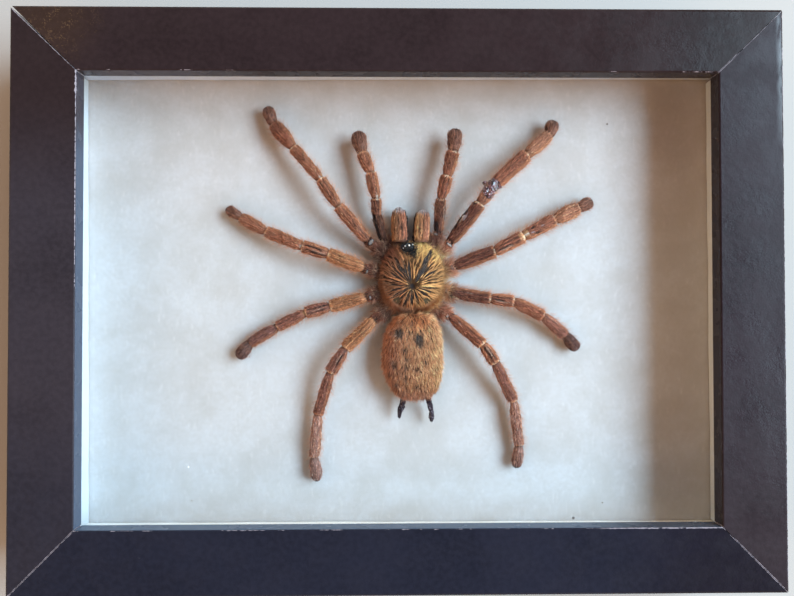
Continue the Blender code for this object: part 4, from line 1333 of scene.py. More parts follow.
def limb_tint(limb, tones, u, v, looks, jitter):
    """Colour over a limb, and how bare and how rimmed it is there. Each segment has its tone, in
    fine lengthwise streaks; two dark bare lines run along the top of femur, patella and tibia; the
    side to the light is painted more golden, a painted highlight, and the side away from it darker,
    a painted shade. The near end of each segment is painted darker, a painted shade in the fold of
    its joint. The far rims are cream, creamier towards their tops partly as a painted highlight,
    and the very tip is black."""
    number, share, near, far = limb.where(u)
    top = from_top(360 * v)
    phase = number * 1.9 + limb.length
    wander = top + 6 * np.sin(2.2 * share + phase) + 3 * np.sin(7 * share + phase) + jitter * 3
    streak = 0.8 * np.sin(np.radians(9 * wander) + phase)
    streak = streak + np.sin(np.radians(16 * wander) + 2 * phase + 3 * share)
    streak = streak + np.sin(np.radians(25 * wander) + 5 * share)
    streak = streak + 0.8 * np.sin(np.radians(37 * wander) + phase - 4 * share)
    tint = tones[number] * np.exp(0.25 * streak - 0.06)[..., None]
    banded = limb.is_segment(number, "femur", "patella", "tibia", "metatarsus")
    side = wander * limb.lit_side()
    # painted highlight: the side of a banded segment that faces the light is made golden
    gold = np.where(banded, smooth_step(25, 50, side) * smooth_step(110, 80, side), 0) * 0.55
    tint = blend(tint, looks.amber, gold * (0.75 + 0.25 * np.sin(np.radians(21 * wander))))
    # painted shade: the side away from the light is made darker
    tint = tint * (1 - 0.22 * smooth_step(-20, -75, side))[..., None]
    bare = creases(wander) * smooth_step(0.06, 0.2, share) * smooth_step(0.96, 0.84, share)
    bare = np.clip(limb.by_segment(CREASE_DEPTHS, number) * bare, 0, 1)
    tint = blend(tint, (0.045, 0.027, 0.024), bare * 0.8)
    s = u * limb.length
    for joint, start, end, turn, half, colour in LIMB_MARKS.get(limb.name, ()):
        there = s - limb.ends[joint]
        run = smooth_step(start - 0.25, start + 0.1, there) * smooth_step(end + 0.25, end - 0.1, there)
        mark = run * smooth_step(1.3 * half, 0.7 * half, np.abs(wander - turn))
        tint = blend(tint, colour, mark * 0.9)
        bare = np.maximum(bare, mark * 0.9)
    base = limb.is_segment(number, "femur", "bent femur") & (number == 2)
    base = base * smooth_step(1.0, 0.55, near + 0.2 * np.sin(np.radians(3 * top) + phase))
    base = base * smooth_step(105, 80, np.abs(top))
    tint = blend(tint, (0.018, 0.014, 0.015), base * 0.9)
    bare = np.maximum(bare, base)
    # painted shade: the near end of each segment, in the fold of its joint, is made darker
    tint = tint * np.where(number > 0, 1 - 0.55 * bell(near, 0.1, 0.3), 1.0)[..., None]
    tip = smooth_step(1.3, 0.3, (1 - u) * limb.length) * limb.is_segment(number, "tarsus")
    tint = blend(tint, (0.03, 0.022, 0.022), tip * 0.8)
    reach = limb.by_segment(SEGMENT_RIMS, number)
    wavy = far + 0.16 * np.sin(np.radians(5 * top) + phase) + 0.10 * np.sin(np.radians(13 * top))
    wavy = wavy + jitter * 0.10
    rim = smooth_step(reach + 0.12, reach - 0.12, wavy) * (reach > 0)
    # the rims are creamier towards the top, partly their own colour and partly a painted highlight
    bright = smooth_step(-0.2, 0.9, np.sin(np.radians(4.3 * top) + phase) + 0.5 * np.cos(np.radians(top)))
    tint = blend(tint, blend(looks.amber, looks.cream, bright), rim * 0.95)
    return tint, bare, rim


def add_limb_skin(name, limb, tones, looks, material):
    """The bare skin as rings every 0.3 mm and closer at the tip, tinted like the hair but darker,
    and paler at the rims."""
    to_tip = np.linspace(limb.length, 0.3, int(limb.length / 0.3))
    to_tip = np.append(to_tip, (0.2, 0.12, 0.06, 0.02, 0.0))
    u, v = grid(1 - to_tip / limb.length, 36)
    tint, _, rim = limb_tint(limb, tones, u, v, looks, 0.0)
    obj = skin(name, limb.shape(u, v))
    paint(obj, (tint * (0.5 + 0.5 * rim)[..., None]))
    return finish_piece(obj, material, "leg_hair", name)


LEG_HAIRS, PALP_HAIRS = 10300, 6600
COAT_SHARES = (0.14, 0.09, 0.15)  # of bristles, fuzz and ruff in a limb's hairs
RUFF_REACH = 7.5  # along the limb from its root, in mm
SHAGGY_LEGS = ("leg_2_right", "leg_3_right")  # their ruffs are longer


def add_limb_coat(name, limb, tones, looks, count, seed, material):
    """The coat as one piece: short flat hair combed towards the tip, bristles that stand off it, a
    soft fuzz of long fine hairs on the inner half of the limb, and a shaggy ruff round its root.
    Hair is thin over the bare lines and below, and ends at the rims."""
    random = np.random.default_rng(seed)
    root_share = RUFF_REACH / limb.length
    bristles, fuzz, ruff = [int(count * share) for share in COAT_SHARES]

    def density(u, v):
        """Thinner below, in the folds and on bare lines and rims."""
        number, _, near, _ = limb.where(u)
        _, bare, rim = limb_tint(limb, tones, u, v, looks, 0.0)
        upper = thin_below(v, 0.22, -0.75, -0.1)
        fold = np.where(number > 0, 1 - 0.8 * bell(near, 0.0, 0.3), 1.0)
        return upper * fold * smooth_step(0.5, 2.5, u * limb.length) * (1 - 0.9 * bare) * (1 - 0.75 * rim)

    u, v = scatter(limb.shape, count, random, density)
    kind = np.zeros(count, int)
    kind[: bristles + fuzz + ruff] = np.repeat((1, 2, 3), (bristles, fuzz, ruff))
    ruffed, fuzzy, tall = kind == 3, kind == 2, kind == 1
    u[ruffed] = random.uniform(0.06, 1.0, ruff) * root_share
    v[ruffed] = random.uniform(-0.12, 0.62, ruff) % 1.0
    u[fuzzy] = root_share * 0.8 + (0.90 - root_share * 0.8) * random.random(fuzz) ** 1.3
    v[fuzzy] = (0.25 + random.choice((-1, 1), fuzz) * random.uniform(0.13, 0.34, fuzz)) % 1.0
    place, normal, outward = surface_frame(limb.shape, u, v)
    by_tip = smooth_step(2.6, 1.6, (1 - u) * limb.length)
    along = unit(limb.direction(u) + outward * (by_tip * 3)[:, None])
    jitter = random.normal(size=count)
    length = random.uniform(0.75, 1.35, count)
    lift = np.radians(np.clip(random.normal(10, 3.5, count), 3, 24))
    width = random.uniform(0.075, 0.12, count)
    tint, _, rim = limb_tint(limb, tones, u, v, looks, jitter * 0.5)
    number, _, _, far = limb.where(u)
    rimmed = limb.by_segment(SEGMENT_RIMS, number) > 0
    length = np.minimum(length, 0.28 + 0.60 * (1 - u) * limb.length)
    length = np.where(rimmed, np.minimum(length, 0.25 + far), length)
    centres = limb.shape(*scatter(limb.shape, max(count // 5, 4), random, density))
    shade, sway = locks(place, along, normal, length, centres, random, 0.45, 0.13, 3.5)
    sway = np.where(kind == 0, sway, random.normal(0, 0.2, count))
    shade = np.where(kind == 0, shade, 1.0) * np.exp(random.normal(0, 0.32, count))
    length[tall] = np.minimum(random.uniform(0.7, 2.3, bristles), 0.5 + 0.6 * (1 - u[tall]) * limb.length)
    width[tall] = random.uniform(0.035, 0.055, bristles)
    lift[tall] = np.radians(random.uniform(22, 66, bristles))
    length[fuzzy], width[fuzzy] = random.uniform(1.1, 2.9, fuzz), random.uniform(0.028, 0.042, fuzz)
    lift[fuzzy] = np.radians(random.uniform(32, 74, fuzz))
    shaggy = 1.3 if name in SHAGGY_LEGS else 1.0
    length[ruffed], width[ruffed] = shaggy * random.uniform(1.3, 3.1, ruff), random.uniform(0.04, 0.075, ruff)
    lift[ruffed] = np.radians(random.uniform(15, 62, ruff))
    sway[ruffed] = np.radians(random.normal(0, 24, ruff))
    tint = np.clip(tint * shade[:, None], 0, 1)
    pale = np.clip(blend(tint, looks.amber, np.full(count, 0.5)) * 1.1, 0, 1)
    tint = blend(tint, pale, np.where(tall | fuzzy, 1 - by_tip, 0.0))
    tint[fuzzy] = 0.55 * tint[fuzzy] + 0.45 * np.array((0.60, 0.34, 0.25))
    stray = ruffed & (random.random(count) < 0.14)
    tint[stray] = np.array((0.74, 0.50, 0.33))
    obj = hairs(
        name + "_hair", place - normal * 0.06, tilted(along, normal, lift, sway), normal, length, width,
        random.uniform(0.02, 0.08, count), tint * 0.66, np.clip(tint * 1.15, 0, 1),
    )
    return finish_piece(obj, material, "leg_hair")


# Bare pads across the joint between the second and third segment: turn from the top in degrees,
# half width and half length along the limb in mm, and paleness, partly the membrane's grey and
# partly a painted highlight of its gloss
JOINT_PADS = {
    "palp_right": (25, 0.8, 0.42, 0.5), "leg_1_left": (-8, 1.15, 0.62, 0.35),
    "leg_1_right": (-12, 1.15, 0.40, 0.8), "leg_3_left": (20, 0.7, 0.4, 0.5),
    "leg_4_right": (-20, 0.55, 0.4, 0.9), "leg_2_right": (-8, 0.95, 0.5, 0.15),
    "leg_2_left": (30, 0.8, 0.36, 0.4), "leg_3_right": (10, 0.7, 0.35, 0.4),
}


def add_joint_pad(name, limb, material):
    """A smooth lens of bare skin over a joint, streaked grey, with a black rim. The pale grey is
    partly a painted highlight.
    """
    turn, half_wide, half_long, pale = JOINT_PADS[name]
    s = np.array([limb.ends[2] - 0.35])
    out = limb.outward(s, np.radians([90 + turn]))[0]
    tangent = limb.read(limb.tangent, s)[0]
    across = np.cross(tangent, out)
    ball = ball_points((0, 0, 0), (1, 1, 1), 20, 32)
    half = np.array((half_long, half_wide, 0.4))
    centre = limb.read(limb.centre, s)[0] + out * (limb.read(limb.radius, s)[0] * SKIN_SHARE + 0.12)
    obj = skin(name + "_pad", centre + (ball * half) @ np.stack([tangent, across, out]))
    rim = smooth_step(0.62, 0.92, np.linalg.norm(ball[..., :2], axis=-1))
    streak = 0.7 + 0.3 * np.sin(5 * ball[..., 1] + 9 * ball[..., 0])
    # the pale grey is partly the membrane's colour and partly a painted highlight
    grey = blend((0.05, 0.045, 0.045), (0.50, 0.46, 0.45), pale * streak)
    paint(obj, blend(grey, (0.016, 0.013, 0.014), rim))
    finish_piece(obj, material, "leg_hair")


class SPECIMEN_OT_limbs(bpy.types.Operator):
    """Eight legs and two palps, each a creased skin with its coat of hair"""

    bl_idname = "specimen.limbs"
    bl_label = "Legs and palps"

    def execute(self, context):
        looks = context.scene.specimen_looks
        bare = coat_material("leg skin", 0.35, dull=False)
        hair = coat_material("leg hair", 0.25)
        for order, (name, (segments, joints, widths)) in enumerate(LIMBS.items()):
            limb = Limb(name, segments, joints, widths)
            tones = limb_tones(name, looks)
            count = int((PALP_HAIRS if name.startswith("palp") else LEG_HAIRS) * looks.hairs)
            add_limb_skin(name, limb, tones, looks, bare)
            add_limb_coat(name, limb, tones, looks, count, looks.seed * 100 + order, hair)
            if name in JOINT_PADS:
                add_joint_pad(name, limb, bare)
        return {"FINISHED"}


# ---- Carapace and eyes ----

def superellipse(angle, half_x, half_y, squareness):
    """A point of a superellipse: each half times the power 2/squareness of the cosine and sine."""
    share = 2 / squareness
    cosine, sine = np.cos(angle), np.sin(angle)
    return (
        half_x * np.sign(cosine) * np.abs(cosine) ** share,
        half_y * np.sign(sine) * np.abs(sine) ** share,
    )


def carapace_margin(v):
    """The outline: a superellipse that narrows towards the front with the square of the way."""
    x, y = superellipse(2 * math.pi * v, *CARAPACE_HALF, CARAPACE_SQUARENESS)
    x = x * (1 - CARAPACE_FRONT_TAPER * np.maximum(0, y / CARAPACE_HALF[1]) ** 2)
    return x + CARAPACE_CENTRE[0], y + CARAPACE_CENTRE[1]


def carapace_shape(u, v):
    """The top, u going from 0 at the fovea to 1 at the margin: a dome with a raised head, a pit at
    the fovea, eight broad grooves and many fine ribs that run out from it."""
    u, v = np.broadcast_arrays(u, v)
    u = np.clip(u, 0, 1)
    margin_x, margin_y = carapace_margin(v)
    x = FOVEA[0] + u * (margin_x - FOVEA[0])
    y = FOVEA[1] + u * (margin_y - FOVEA[1])
    angle = np.arctan2(margin_y - FOVEA[1], margin_x - FOVEA[0])
    front = np.maximum(0, (y - FOVEA[1]) / CARAPACE_HALF[1])
    dome = CARAPACE_RISE * (1 - u**2.6) ** 0.62
    head = 0.7 * front * (1 - u**4)
    pit = 0.9 * bell(u, 0, 0.12)
    groove = 0.28 * (0.5 + 0.5 * np.cos(8 * angle)) * np.sin(math.pi * u)
    fine = 0.07 * np.sin(26 * angle + 2 * np.sin(3 * angle)) * bell(u, 0.45, 0.3)
    return joined(x, y, BACKING + CARAPACE_MARGIN - 0.15 + dome + head - pit - groove + fine)


# Dark stripes on the carapace: the direction from the fovea in degrees, the distances from it at
# which the stripe starts and ends, its half width in mm, and how far its inner end turns aside
DARK_STRIPES = (
    (62.5, 1.3, 11.7, 0.66, -11.0), (122.0, 1.9, 9.0, 0.50, 0.0), (98.0, 1.5, 6.8, 0.42, 12.0),
    (268.0, 0.9, 5.0, 0.46, 0.0), (35.0, 2.6, 7.9, 0.30, 0.0), (-5.0, 2.3, 6.6, 0.24, 0.0),
    (135.0, 3.0, 7.8, 0.25, 3.0), (148.0, 3.4, 7.4, 0.20, 0.0), (111.5, 3.6, 7.4, 0.18, 0.0),
    (20.0, 2.9, 6.2, 0.18, 0.0), (49.0, 3.6, 8.4, 0.17, -3.0), (9.0, 3.2, 6.8, 0.16, 0.0),
    (162.0, 3.0, 6.6, 0.20, 0.0), (176.0, 2.6, 6.2, 0.24, 0.0), (-17.0, 2.4, 5.8, 0.20, 0.0),
    (-33.0, 2.0, 5.4, 0.30, 0.0), (192.0, 2.4, 6.2, 0.30, 0.0), (209.0, 2.0, 6.0, 0.36, 0.0),
    (228.0, 2.2, 6.2, 0.42, 0.0), (247.0, 1.8, 5.4, 0.40, 0.0), (291.0, 1.6, 5.0, 0.36, 0.0),
)
BROAD_STRIPES = 4  # the first of them are wide, and hold thin grey hairs
OLIVE_PATCHES = ((-0.8, -0.6, 1.3, 1.7), (8.0, -0.4, 1.5, 1.0))  # x, y and half sizes


def carapace_darkness(x, y, stripes=DARK_STRIPES):
    """How dark the carapace is at a place, from 0 to 1: the stripes that run out from the fovea,
    the patches beside its rear, and the pit itself."""
    across, forward = x - FOVEA[0], y - FOVEA[1]
    reach = np.hypot(across, forward)
    angle = np.degrees(np.arctan2(forward, across))
    dark = np.zeros(np.shape(x))
    for way, start, end, half, bend in stripes:
        share = np.clip((reach - start) / (end - start), 0, 1)
        turn = (angle - way - bend * (1 - share) ** 2 + 180) % 360 - 180 + 1.2 * np.sin(reach * 1.4 + way)
        off = np.abs(np.radians(turn)) * reach
        width = half * np.sqrt(np.sin(math.pi * (0.04 + 0.92 * share)))
        ends = smooth_step(start - 0.4, start + 0.4, reach) * smooth_step(end + 0.4, end - 0.4, reach)
        dark = np.maximum(dark, ends * smooth_step(1.2, 0.75, off / np.maximum(width, 0.05)))
    if stripes is not DARK_STRIPES:
        return dark
    for patch in OLIVE_PATCHES:
        dark = np.maximum(dark, 0.8 * smooth_step(1.1, 0.6, off_centre(x, y, patch)))
    return np.maximum(dark, smooth_step(0.9, 0.5, reach))


def carapace_tint(x, y, looks, jitter):
    """Gold on the right and in front, browner to the left, rust at the left front. The middle of
    the sides and of the rear is a little darker, and the rear corners and right front are paler,
    in part as painted shade and light over the curved shield."""
    across, forward = x - FOVEA[0], y - FOVEA[1]
    side = smooth_step(-4.0, 3.0, across + 0.15 * forward + jitter * 0.6)
    left = blend((0.37, 0.175, 0.090), (0.31, 0.125, 0.072), smooth_step(4, 9, forward))
    right = blend(looks.gold, (0.72, 0.44, 0.175), smooth_step(5, 10, forward))
    outer, behind = smooth_step(2.5, 5.5, np.abs(across)), smooth_step(-2.0, -4.5, forward)
    ahead = smooth_step(2.5, 5.5, forward) * smooth_step(1.5, 4.5, np.abs(across))
    # partly painted shade and light: darker mid sides and rear, paler rear corners and right front
    gain = 1 - 0.14 * outer * (1 - behind) * (1 - ahead) + 0.22 * outer * behind - 0.16 * (1 - outer) * behind
    gain = gain + np.where(across > 0, 0.13, -0.10) * ahead
    return blend(left, right, side) * gain[..., None]


def add_carapace(looks, bare, hair):
    """The shield with the sternum below it in one skin, black between its hair bundles."""
    v = np.arange(192) / 192
    angle = 2 * math.pi * v

    def ring(centre, half, height):
        """A superellipse at a height above the paper."""
        x, y = superellipse(angle, *half, 2.6)
        return joined(x + centre[0], y + centre[1], BACKING + height)

    margin_x, margin_y = carapace_margin(v)
    under_x, under_y = [f + 0.97 * (m - f) for f, m in zip(FOVEA, (margin_x, margin_y))]
    under = joined(under_x, under_y, BACKING + CARAPACE_UNDERSIDE)
    low = ring(STERNUM_CENTRE, scaled(STERNUM_HALF, 0.8), STERNUM_BOTTOM)
    middle = ring(STERNUM_CENTRE, STERNUM_HALF, STERNUM_BOTTOM + 0.5)
    high = ring(STERNUM_CENTRE, STERNUM_HALF, CARAPACE_UNDERSIDE - 0.3)
    shares = np.concatenate([[0.999, 0.99, 0.98], np.linspace(0.96, 0.03, 64)])
    top = carapace_shape(shares[:, None], v[None, :])
    rings = np.concatenate([np.stack([low, middle, high, under]), top])
    pole = carapace_shape(np.zeros(1), np.zeros(1))[0]
    obj = skin("carapace", rings, ((*STERNUM_CENTRE, BACKING + STERNUM_BOTTOM), pole))
    x, y = rings[..., 0], rings[..., 1]
    dark = carapace_darkness(x, y)
    tint = blend(carapace_tint(x, y, looks, 0.0) * 0.13, (0.022, 0.018, 0.018), dark)
    for patch in OLIVE_PATCHES:
        tint = blend(tint, (0.085, 0.062, 0.034), smooth_step(1.1, 0.6, off_centre(x, y, patch)) * 0.8)
    tint[:3] = (0.10, 0.05, 0.03)
    paint(obj, tint)
    finish_piece(obj, bare, "carapace_hair", "carapace")
    add_carapace_hair(looks, hair)


def carapace_place(angle, share):
    """u and v on the carapace's top for directions from the fovea in degrees and shares of the way
    to the margin, and the whole way to the margin in mm."""
    table = np.linspace(0, 1, 1441)
    x, y = carapace_margin(table)
    ways = np.unwrap(np.arctan2(y - FOVEA[1], x - FOVEA[0]))
    v = np.interp(ways[0] + (np.radians(angle) - ways[0]) % (2 * math.pi), ways, table)
    edge_x, edge_y = carapace_margin(v)
    return share, v, np.hypot(edge_x - FOVEA[0], edge_y - FOVEA[1])


STRANDS = 46
# Strands, smooth coat of the head, belt along the rear rim, sparse thin hairs, fringe and grey
# hairs: number, and from and to of their length and width in mm and their lift in degrees
CARAPACE_COAT = (
    (13800, (0.9, 1.7), (0.07, 0.105), (3, 10)),
    (4800, (0.8, 1.5), (0.075, 0.12), (5, 15)),
    (4400, (1.4, 2.4), (0.08, 0.12), (1, 9)),
    (1500, (0.7, 1.3), (0.045, 0.06), (8, 26)),
    (3500, (0.9, 2.2), (0.055, 0.085), (-28, 36)),
    (400, (0.5, 1.0), (0.045, 0.07), (3, 12)),
)


def strand_hairs(count, random):
    """Places for hairs that make up strands from the fovea to the rim, a narrower strand between
    each two of them on the outer half. A strand's line wavers with its distance from the fovea.
    Returns directions in degrees, shares of the way out, turns to the side in radians, how high a
    hair is raised in mm, and shades: both are greatest along the middle of a strand, and the shades
    fall off to its sides as a painted shade beside the dark gaps."""
    total = 2 * STRANDS
    number = random.integers(0, total, count)
    first = number < STRANDS
    pitch = 360 / STRANDS
    order = np.arange(total)
    ways = (order % STRANDS + np.where(order < STRANDS, 0.0, 0.5)) * pitch + random.uniform(-1.5, 1.5, total)
    inner, outer = random.uniform(0.11, 0.24, total), random.uniform(0.40, 0.66, total)
    starts = np.where(order < STRANDS, inner, outer)
    swing, phase = random.uniform(0.5, 1.7, total), random.uniform(0, 2 * math.pi, total)
    shades = np.exp(random.normal(0, 0.26, total))
    widths = np.exp(random.normal(0, 0.25, total))
    share = starts[number] + (0.97 - starts[number]) * random.random(count) ** 0.85
    _, _, whole = carapace_place(ways[number], share)
    reach = share * whole
    wave = swing[number] * np.sin(1.3 * reach + phase[number]) + 0.5 * np.sin(3.7 * reach + 2 * phase[number])
    turning = np.radians(swing[number] * 1.3 * np.cos(1.3 * reach + phase[number])) * reach
    half = np.radians(pitch) * reach * np.where(first, 0.27, 0.17) * widths[number] + 0.04
    side = random.uniform(-1, 1, count)
    angle = ways[number] + wave + np.degrees(side * half / reach)
    middle = 1 - side**2
    sway = np.arctan(turning) - 0.25 * side * half
    # painted shade: hairs towards a strand's sides are darker
    return angle, share, sway, 0.05 + 0.16 * middle, shades[number] * (0.55 + 0.75 * middle)


def add_carapace_hair(looks, material):
    """The coat in six parts: strands that run out from the fovea with black gaps between them,
    smooth hair on the head and near the rim, a belt combed along the rear rim, sparse thin hairs
    all over, a fringe round the margin, and thin grey hairs in the broad stripes."""
    random = np.random.default_rng(looks.seed)
    numbers, *ranges = zip(*CARAPACE_COAT)
    counts = [int(number * looks.hairs) for number in numbers]
    kind = np.repeat(np.arange(6), counts)
    count = len(kind)
    strand, head, belt, thin, edge, grey = [kind == number for number in range(6)]

    def smooth_coat(u, v):
        """1 on the head, and rather more than a half near the rim."""
        place = carapace_shape(u, v)
        across, forward = place[..., 0] - FOVEA[0], place[..., 1] - FOVEA[1]
        between = smooth_step(6.4, 8.2, forward + 0.4 * np.sin(3 * across))
        return between * (np.abs(across + 0.2) < 0.55 * forward) + 0.55 * smooth_step(0.84, 0.96, u)

    def in_broad_stripes(u, v):
        """As dark as the broad stripes are there."""
        place = carapace_shape(u, v)
        return carapace_darkness(place[..., 0], place[..., 1], DARK_STRIPES[:BROAD_STRIPES])

    u, v, sway, rise, shade = [np.zeros(count) for _ in range(5)]
    shade[:] = 1.0
    way = random.uniform(0, 360, count)
    way[edge] = np.where(random.random(counts[4]) < 0.45, random.uniform(190, 350, counts[4]), way[edge])
    way[belt] = random.uniform(172, 364, counts[2])
    way[strand], u[strand], sway[strand], rise[strand], shade[strand] = strand_hairs(counts[0], random)
    u[belt] = random.uniform(0.80, 0.985, counts[2])
    u[thin] = np.sqrt(random.uniform(0.03, 0.9, counts[3]))
    u[edge] = random.uniform(0.94, 1.0, counts[4])
    v = carapace_place(way, u)[1]
    u[head], v[head] = scatter(carapace_shape, counts[1], random, smooth_coat, 160, 240)
    u[grey], v[grey] = scatter(carapace_shape, counts[5], random, in_broad_stripes, 160, 240)
    place, normal, along = surface_frame(carapace_shape, np.clip(u, 0.01, 0.999), v)
    rear = smooth_step(FOVEA[1], FOVEA[1] - 5, place[:, 1])
    curl = 34 * ripple(place[head], 1.6, 41) * smooth_step(0.8, 0.9, u[head])
    sway[head] = np.radians(random.normal(-14, 9, counts[1]) + curl)
    inwards = np.where(way[belt] % 360 < 268, 1, -1)
    sway[belt] = np.radians(inwards * random.normal(66, 11, counts[2]) * rear[belt] ** 0.5)
    sway[thin] = np.radians(random.normal(0, 16, counts[3]))
    sway[edge] = np.radians(random.normal(0, 30, counts[4]))
    rise[belt] = random.uniform(0.05, 0.22, counts[2])
    length, width, lift = [random.uniform(*np.array(table)[kind].T) for table in ranges]
    over_jaws = smooth_step(0.89, 0.93, np.sin(np.radians(way))) * edge
    clump = 0.5 + 0.5 * np.sin(np.radians(17 * way) + 2.2 * np.sin(np.radians(5 * way)))
    length = length * np.where(edge, (0.55 + 0.6 * clump) * (1 + 0.9 * rear) + 0.35 * over_jaws, 1.0)
    lift = np.where(over_jaws > 0.3, random.uniform(8, 30, count), lift)
    ways = tilted(along, normal, np.radians(lift), sway)
    tint = carapace_tint(place[:, 0], place[:, 1], looks, random.normal(size=count))
    rear_left = smooth_step(2.0, -1.5, place[:, 1]) * smooth_step(3.0, 1.0, place[:, 0])
    tint = tint * (1 - 0.35 * strand * rear_left)[:, None]
    tint = np.where(belt[:, None], blend(tint, (0.33, 0.150, 0.085), 0.65 * rear), tint)
    tint = np.where(thin[:, None], tint * 0.5, tint)
    inner = smooth_step(6.5, 3.0, np.hypot(place[:, 0] - FOVEA[0], place[:, 1] - FOVEA[1]))
    tint = tint * (1 + 0.35 * strand * inner)[:, None]
    tint = tint * (shade * np.exp(random.normal(0, 0.15, count)))[:, None]
    grey_tint = np.array((0.13, 0.105, 0.090)) * np.exp(random.normal(0, 0.5, (count, 1)))
    tint = np.where(grey[:, None], grey_tint, tint)
    root_tint = tint * np.where(strand, 0.80, 0.55)[:, None]
    covered = np.zeros(count)
    for reach in (0.0, 0.5, 1.0):
        there = place + ways * (length * reach)[:, None]
        covered = np.maximum(covered, carapace_darkness(there[:, 0], there[:, 1]))
    keep = (covered < 0.5) | belt | edge | grey | (random.random(count) < 0.03)
    columns = (
        place + normal * (rise - 0.05)[:, None], ways, normal, length, width,
        random.uniform(0.0, 0.05, count), root_tint, np.clip(tint * 1.2, 0, 1),
    )
    obj = hairs("carapace_hair", *[column[keep] for column in columns])
    finish_piece(obj, material, "carapace_hair")


# Eyes on the mound: place as x and y, radius in mm, paleness
EYES = (
    (1.57, 14.97, 0.27, 0.35), (2.71, 15.16, 0.27, 1.0), (3.68, 15.45, 0.22, 0.8), (1.05, 14.40, 0.19, 0.3),
    (2.05, 15.55, 0.22, 0.0), (3.30, 14.60, 0.20, 0.0), (2.10, 14.30, 0.18, 0.02), (2.90, 14.10, 0.17, 0.0),
)


def ball_points(centre, half, rows=16, columns=28):
    """Rings of an ellipsoid from its lowest point to its highest, the poles left out."""
    tilt = np.linspace(-math.pi / 2, math.pi / 2, rows + 2)[1:-1, None]
    turn = round_angles(columns)
    out = joined(np.cos(tilt) * np.cos(turn), np.cos(tilt) * np.sin(turn), np.sin(tilt))
    return np.asarray(centre) + out * np.asarray(half)


def gloss_material(name, roughness):
    """Glossy bare cuticle in its painted tint, finely wrinkled."""
    material, tree, shader = new_material(name)
    wrinkle = mottle(tree, object_place(tree), 0.5, 0.3, 0.7)
    feed(tree, shader, coat_node(tree, 0.3)["Colour"], wrinkle, roughness * 0.6, roughness * 1.5)
    shader.inputs["Coat Weight"].default_value = 0.6
    set_bump(tree, shader, wrinkle, 0.03)
    return material


def add_eye_mound(material, matt):
    """The low mound behind the jaws with eight round eyes set into it, as one closed piece each."""
    centre = np.array(EYE_MOUND) + (0, 0, BACKING)
    mound = ball_points(centre, EYE_MOUND_HALF, 24, 40)
    mound = mound + 0.05 * ripple(mound, 0.9, 5)[..., None] * unit(mound - centre)
    obj = skin("eye_mound", mound)
    paint(obj, np.full((len(obj.data.vertices), 3), 0.012))
    finish_piece(obj, matt, "carapace_hair")
    for number, (x, y, radius, pale) in enumerate(EYES, start=1):
        flat = off_centre(x, y, (*centre[:2], *EYE_MOUND_HALF[:2]))
        height = centre[2] + EYE_MOUND_HALF[2] * math.sqrt(max(0.0, 1 - flat**2))
        eye = skin(f"eye_{number}", ball_points((x, y, height + 0.25 * radius), (radius,) * 3))
        paint(eye, np.full((len(eye.data.vertices), 3), 0.010 + 0.85 * pale))
        finish_piece(eye, material, "carapace_hair")


TUFT_HAIRS = 420


def add_eye_tuft(looks, material):
    """Black bristles standing behind the mound, leaning to the right and back."""
    random = np.random.default_rng(looks.seed + 20)
    count = int(TUFT_HAIRS * looks.hairs)
    places = np.array((3.9, 13.2, BACKING + 8.3)) + random.normal(size=(count, 3)) * (0.55, 0.8, 0.10)
    ring = random.uniform(0, 2 * math.pi, count // 2)
    centre = np.array(EYE_MOUND)[:2]
    places[: count // 2, :2] = centre + np.stack([2.1 * np.cos(ring), 1.7 * np.sin(ring)], axis=-1)
    places[: count // 2, 2] = BACKING + 8.2
    up = np.tile((0.0, 0.0, 1.0), (count, 1))
    ways = unit(random.normal(size=(count, 3)) * 0.45 + (0.25, -0.35, 0.75))
    tint = np.full((count, 3), 0.02) * np.exp(random.normal(0, 0.3, (count, 1)))
    obj = hairs(
        "eye_tuft", places, ways, np.cross(unit(np.cross(ways, up)), ways), random.uniform(0.6, 1.3, count),
        random.uniform(0.08, 0.14, count), random.uniform(-0.05, 0.05, count), tint, tint * 1.3,
    )
    finish_piece(obj, material, "carapace_hair")


class SPECIMEN_OT_carapace(bpy.types.Operator):
    """The carapace with its radiating hair bundles, the eye mound and its eyes"""

    bl_idname = "specimen.carapace"
    bl_label = "Carapace and eyes"

    def execute(self, context):
        looks = context.scene.specimen_looks
        hair = coat_material("carapace hair", 0.22)
        bare = coat_material("carapace skin", 0.35, dull=False)
        add_carapace(looks, bare, hair)
        add_eye_mound(gloss_material("eye gloss", 0.18), bare)
        add_eye_tuft(looks, hair)
        return {"FINISHED"}


# ---- Abdomen, jaws and spinnerets ----

def abdomen_shape(u, v):
    """A long egg, u from 0 at its front to 1 at its rear: its half width at y is the fullness root
    of 1 - |y| to the power of the fullness, which is greater on the right and in front. It is
    flatter below, and shrunken in soft dents."""
    u, v = np.broadcast_arrays(u, v)
    y = np.cos(math.pi * np.clip(u, 0, 1))
    angle = 2 * math.pi * v
    right = 0.5 + 0.5 * np.cos(angle)
    fullness = np.where(y > 0, 2.4 + 1.1 * right, 2.2 + 0.8 * right)
    radius = np.maximum(0, 1 - np.abs(y) ** fullness) ** (1 / fullness)
    x = radius * np.cos(angle) * (1 - 0.03 * y) * ABDOMEN_HALF[0] * 0.955
    z = radius * np.sin(angle) * np.where(np.sin(angle) < 0, 0.94, 1.0) * ABDOMEN_HALF[2] * 0.94
    points = joined(x, y * ABDOMEN_HALF[1] * 0.98, z)
    dent = 0.16 * ripple(points, 7.5, 11) + 0.06 * ripple(points, 2.4, 12)
    return points * (1 + dent[..., None] / 8) + np.array(ABDOMEN_CENTRE) + (0, 0, BACKING)


# Grey-black patches on the abdomen: x, y, half width and half length
ABDOMEN_PATCHES = ((0.0, -8.7, 1.05, 1.35), (5.3, -10.5, 1.1, 2.1))
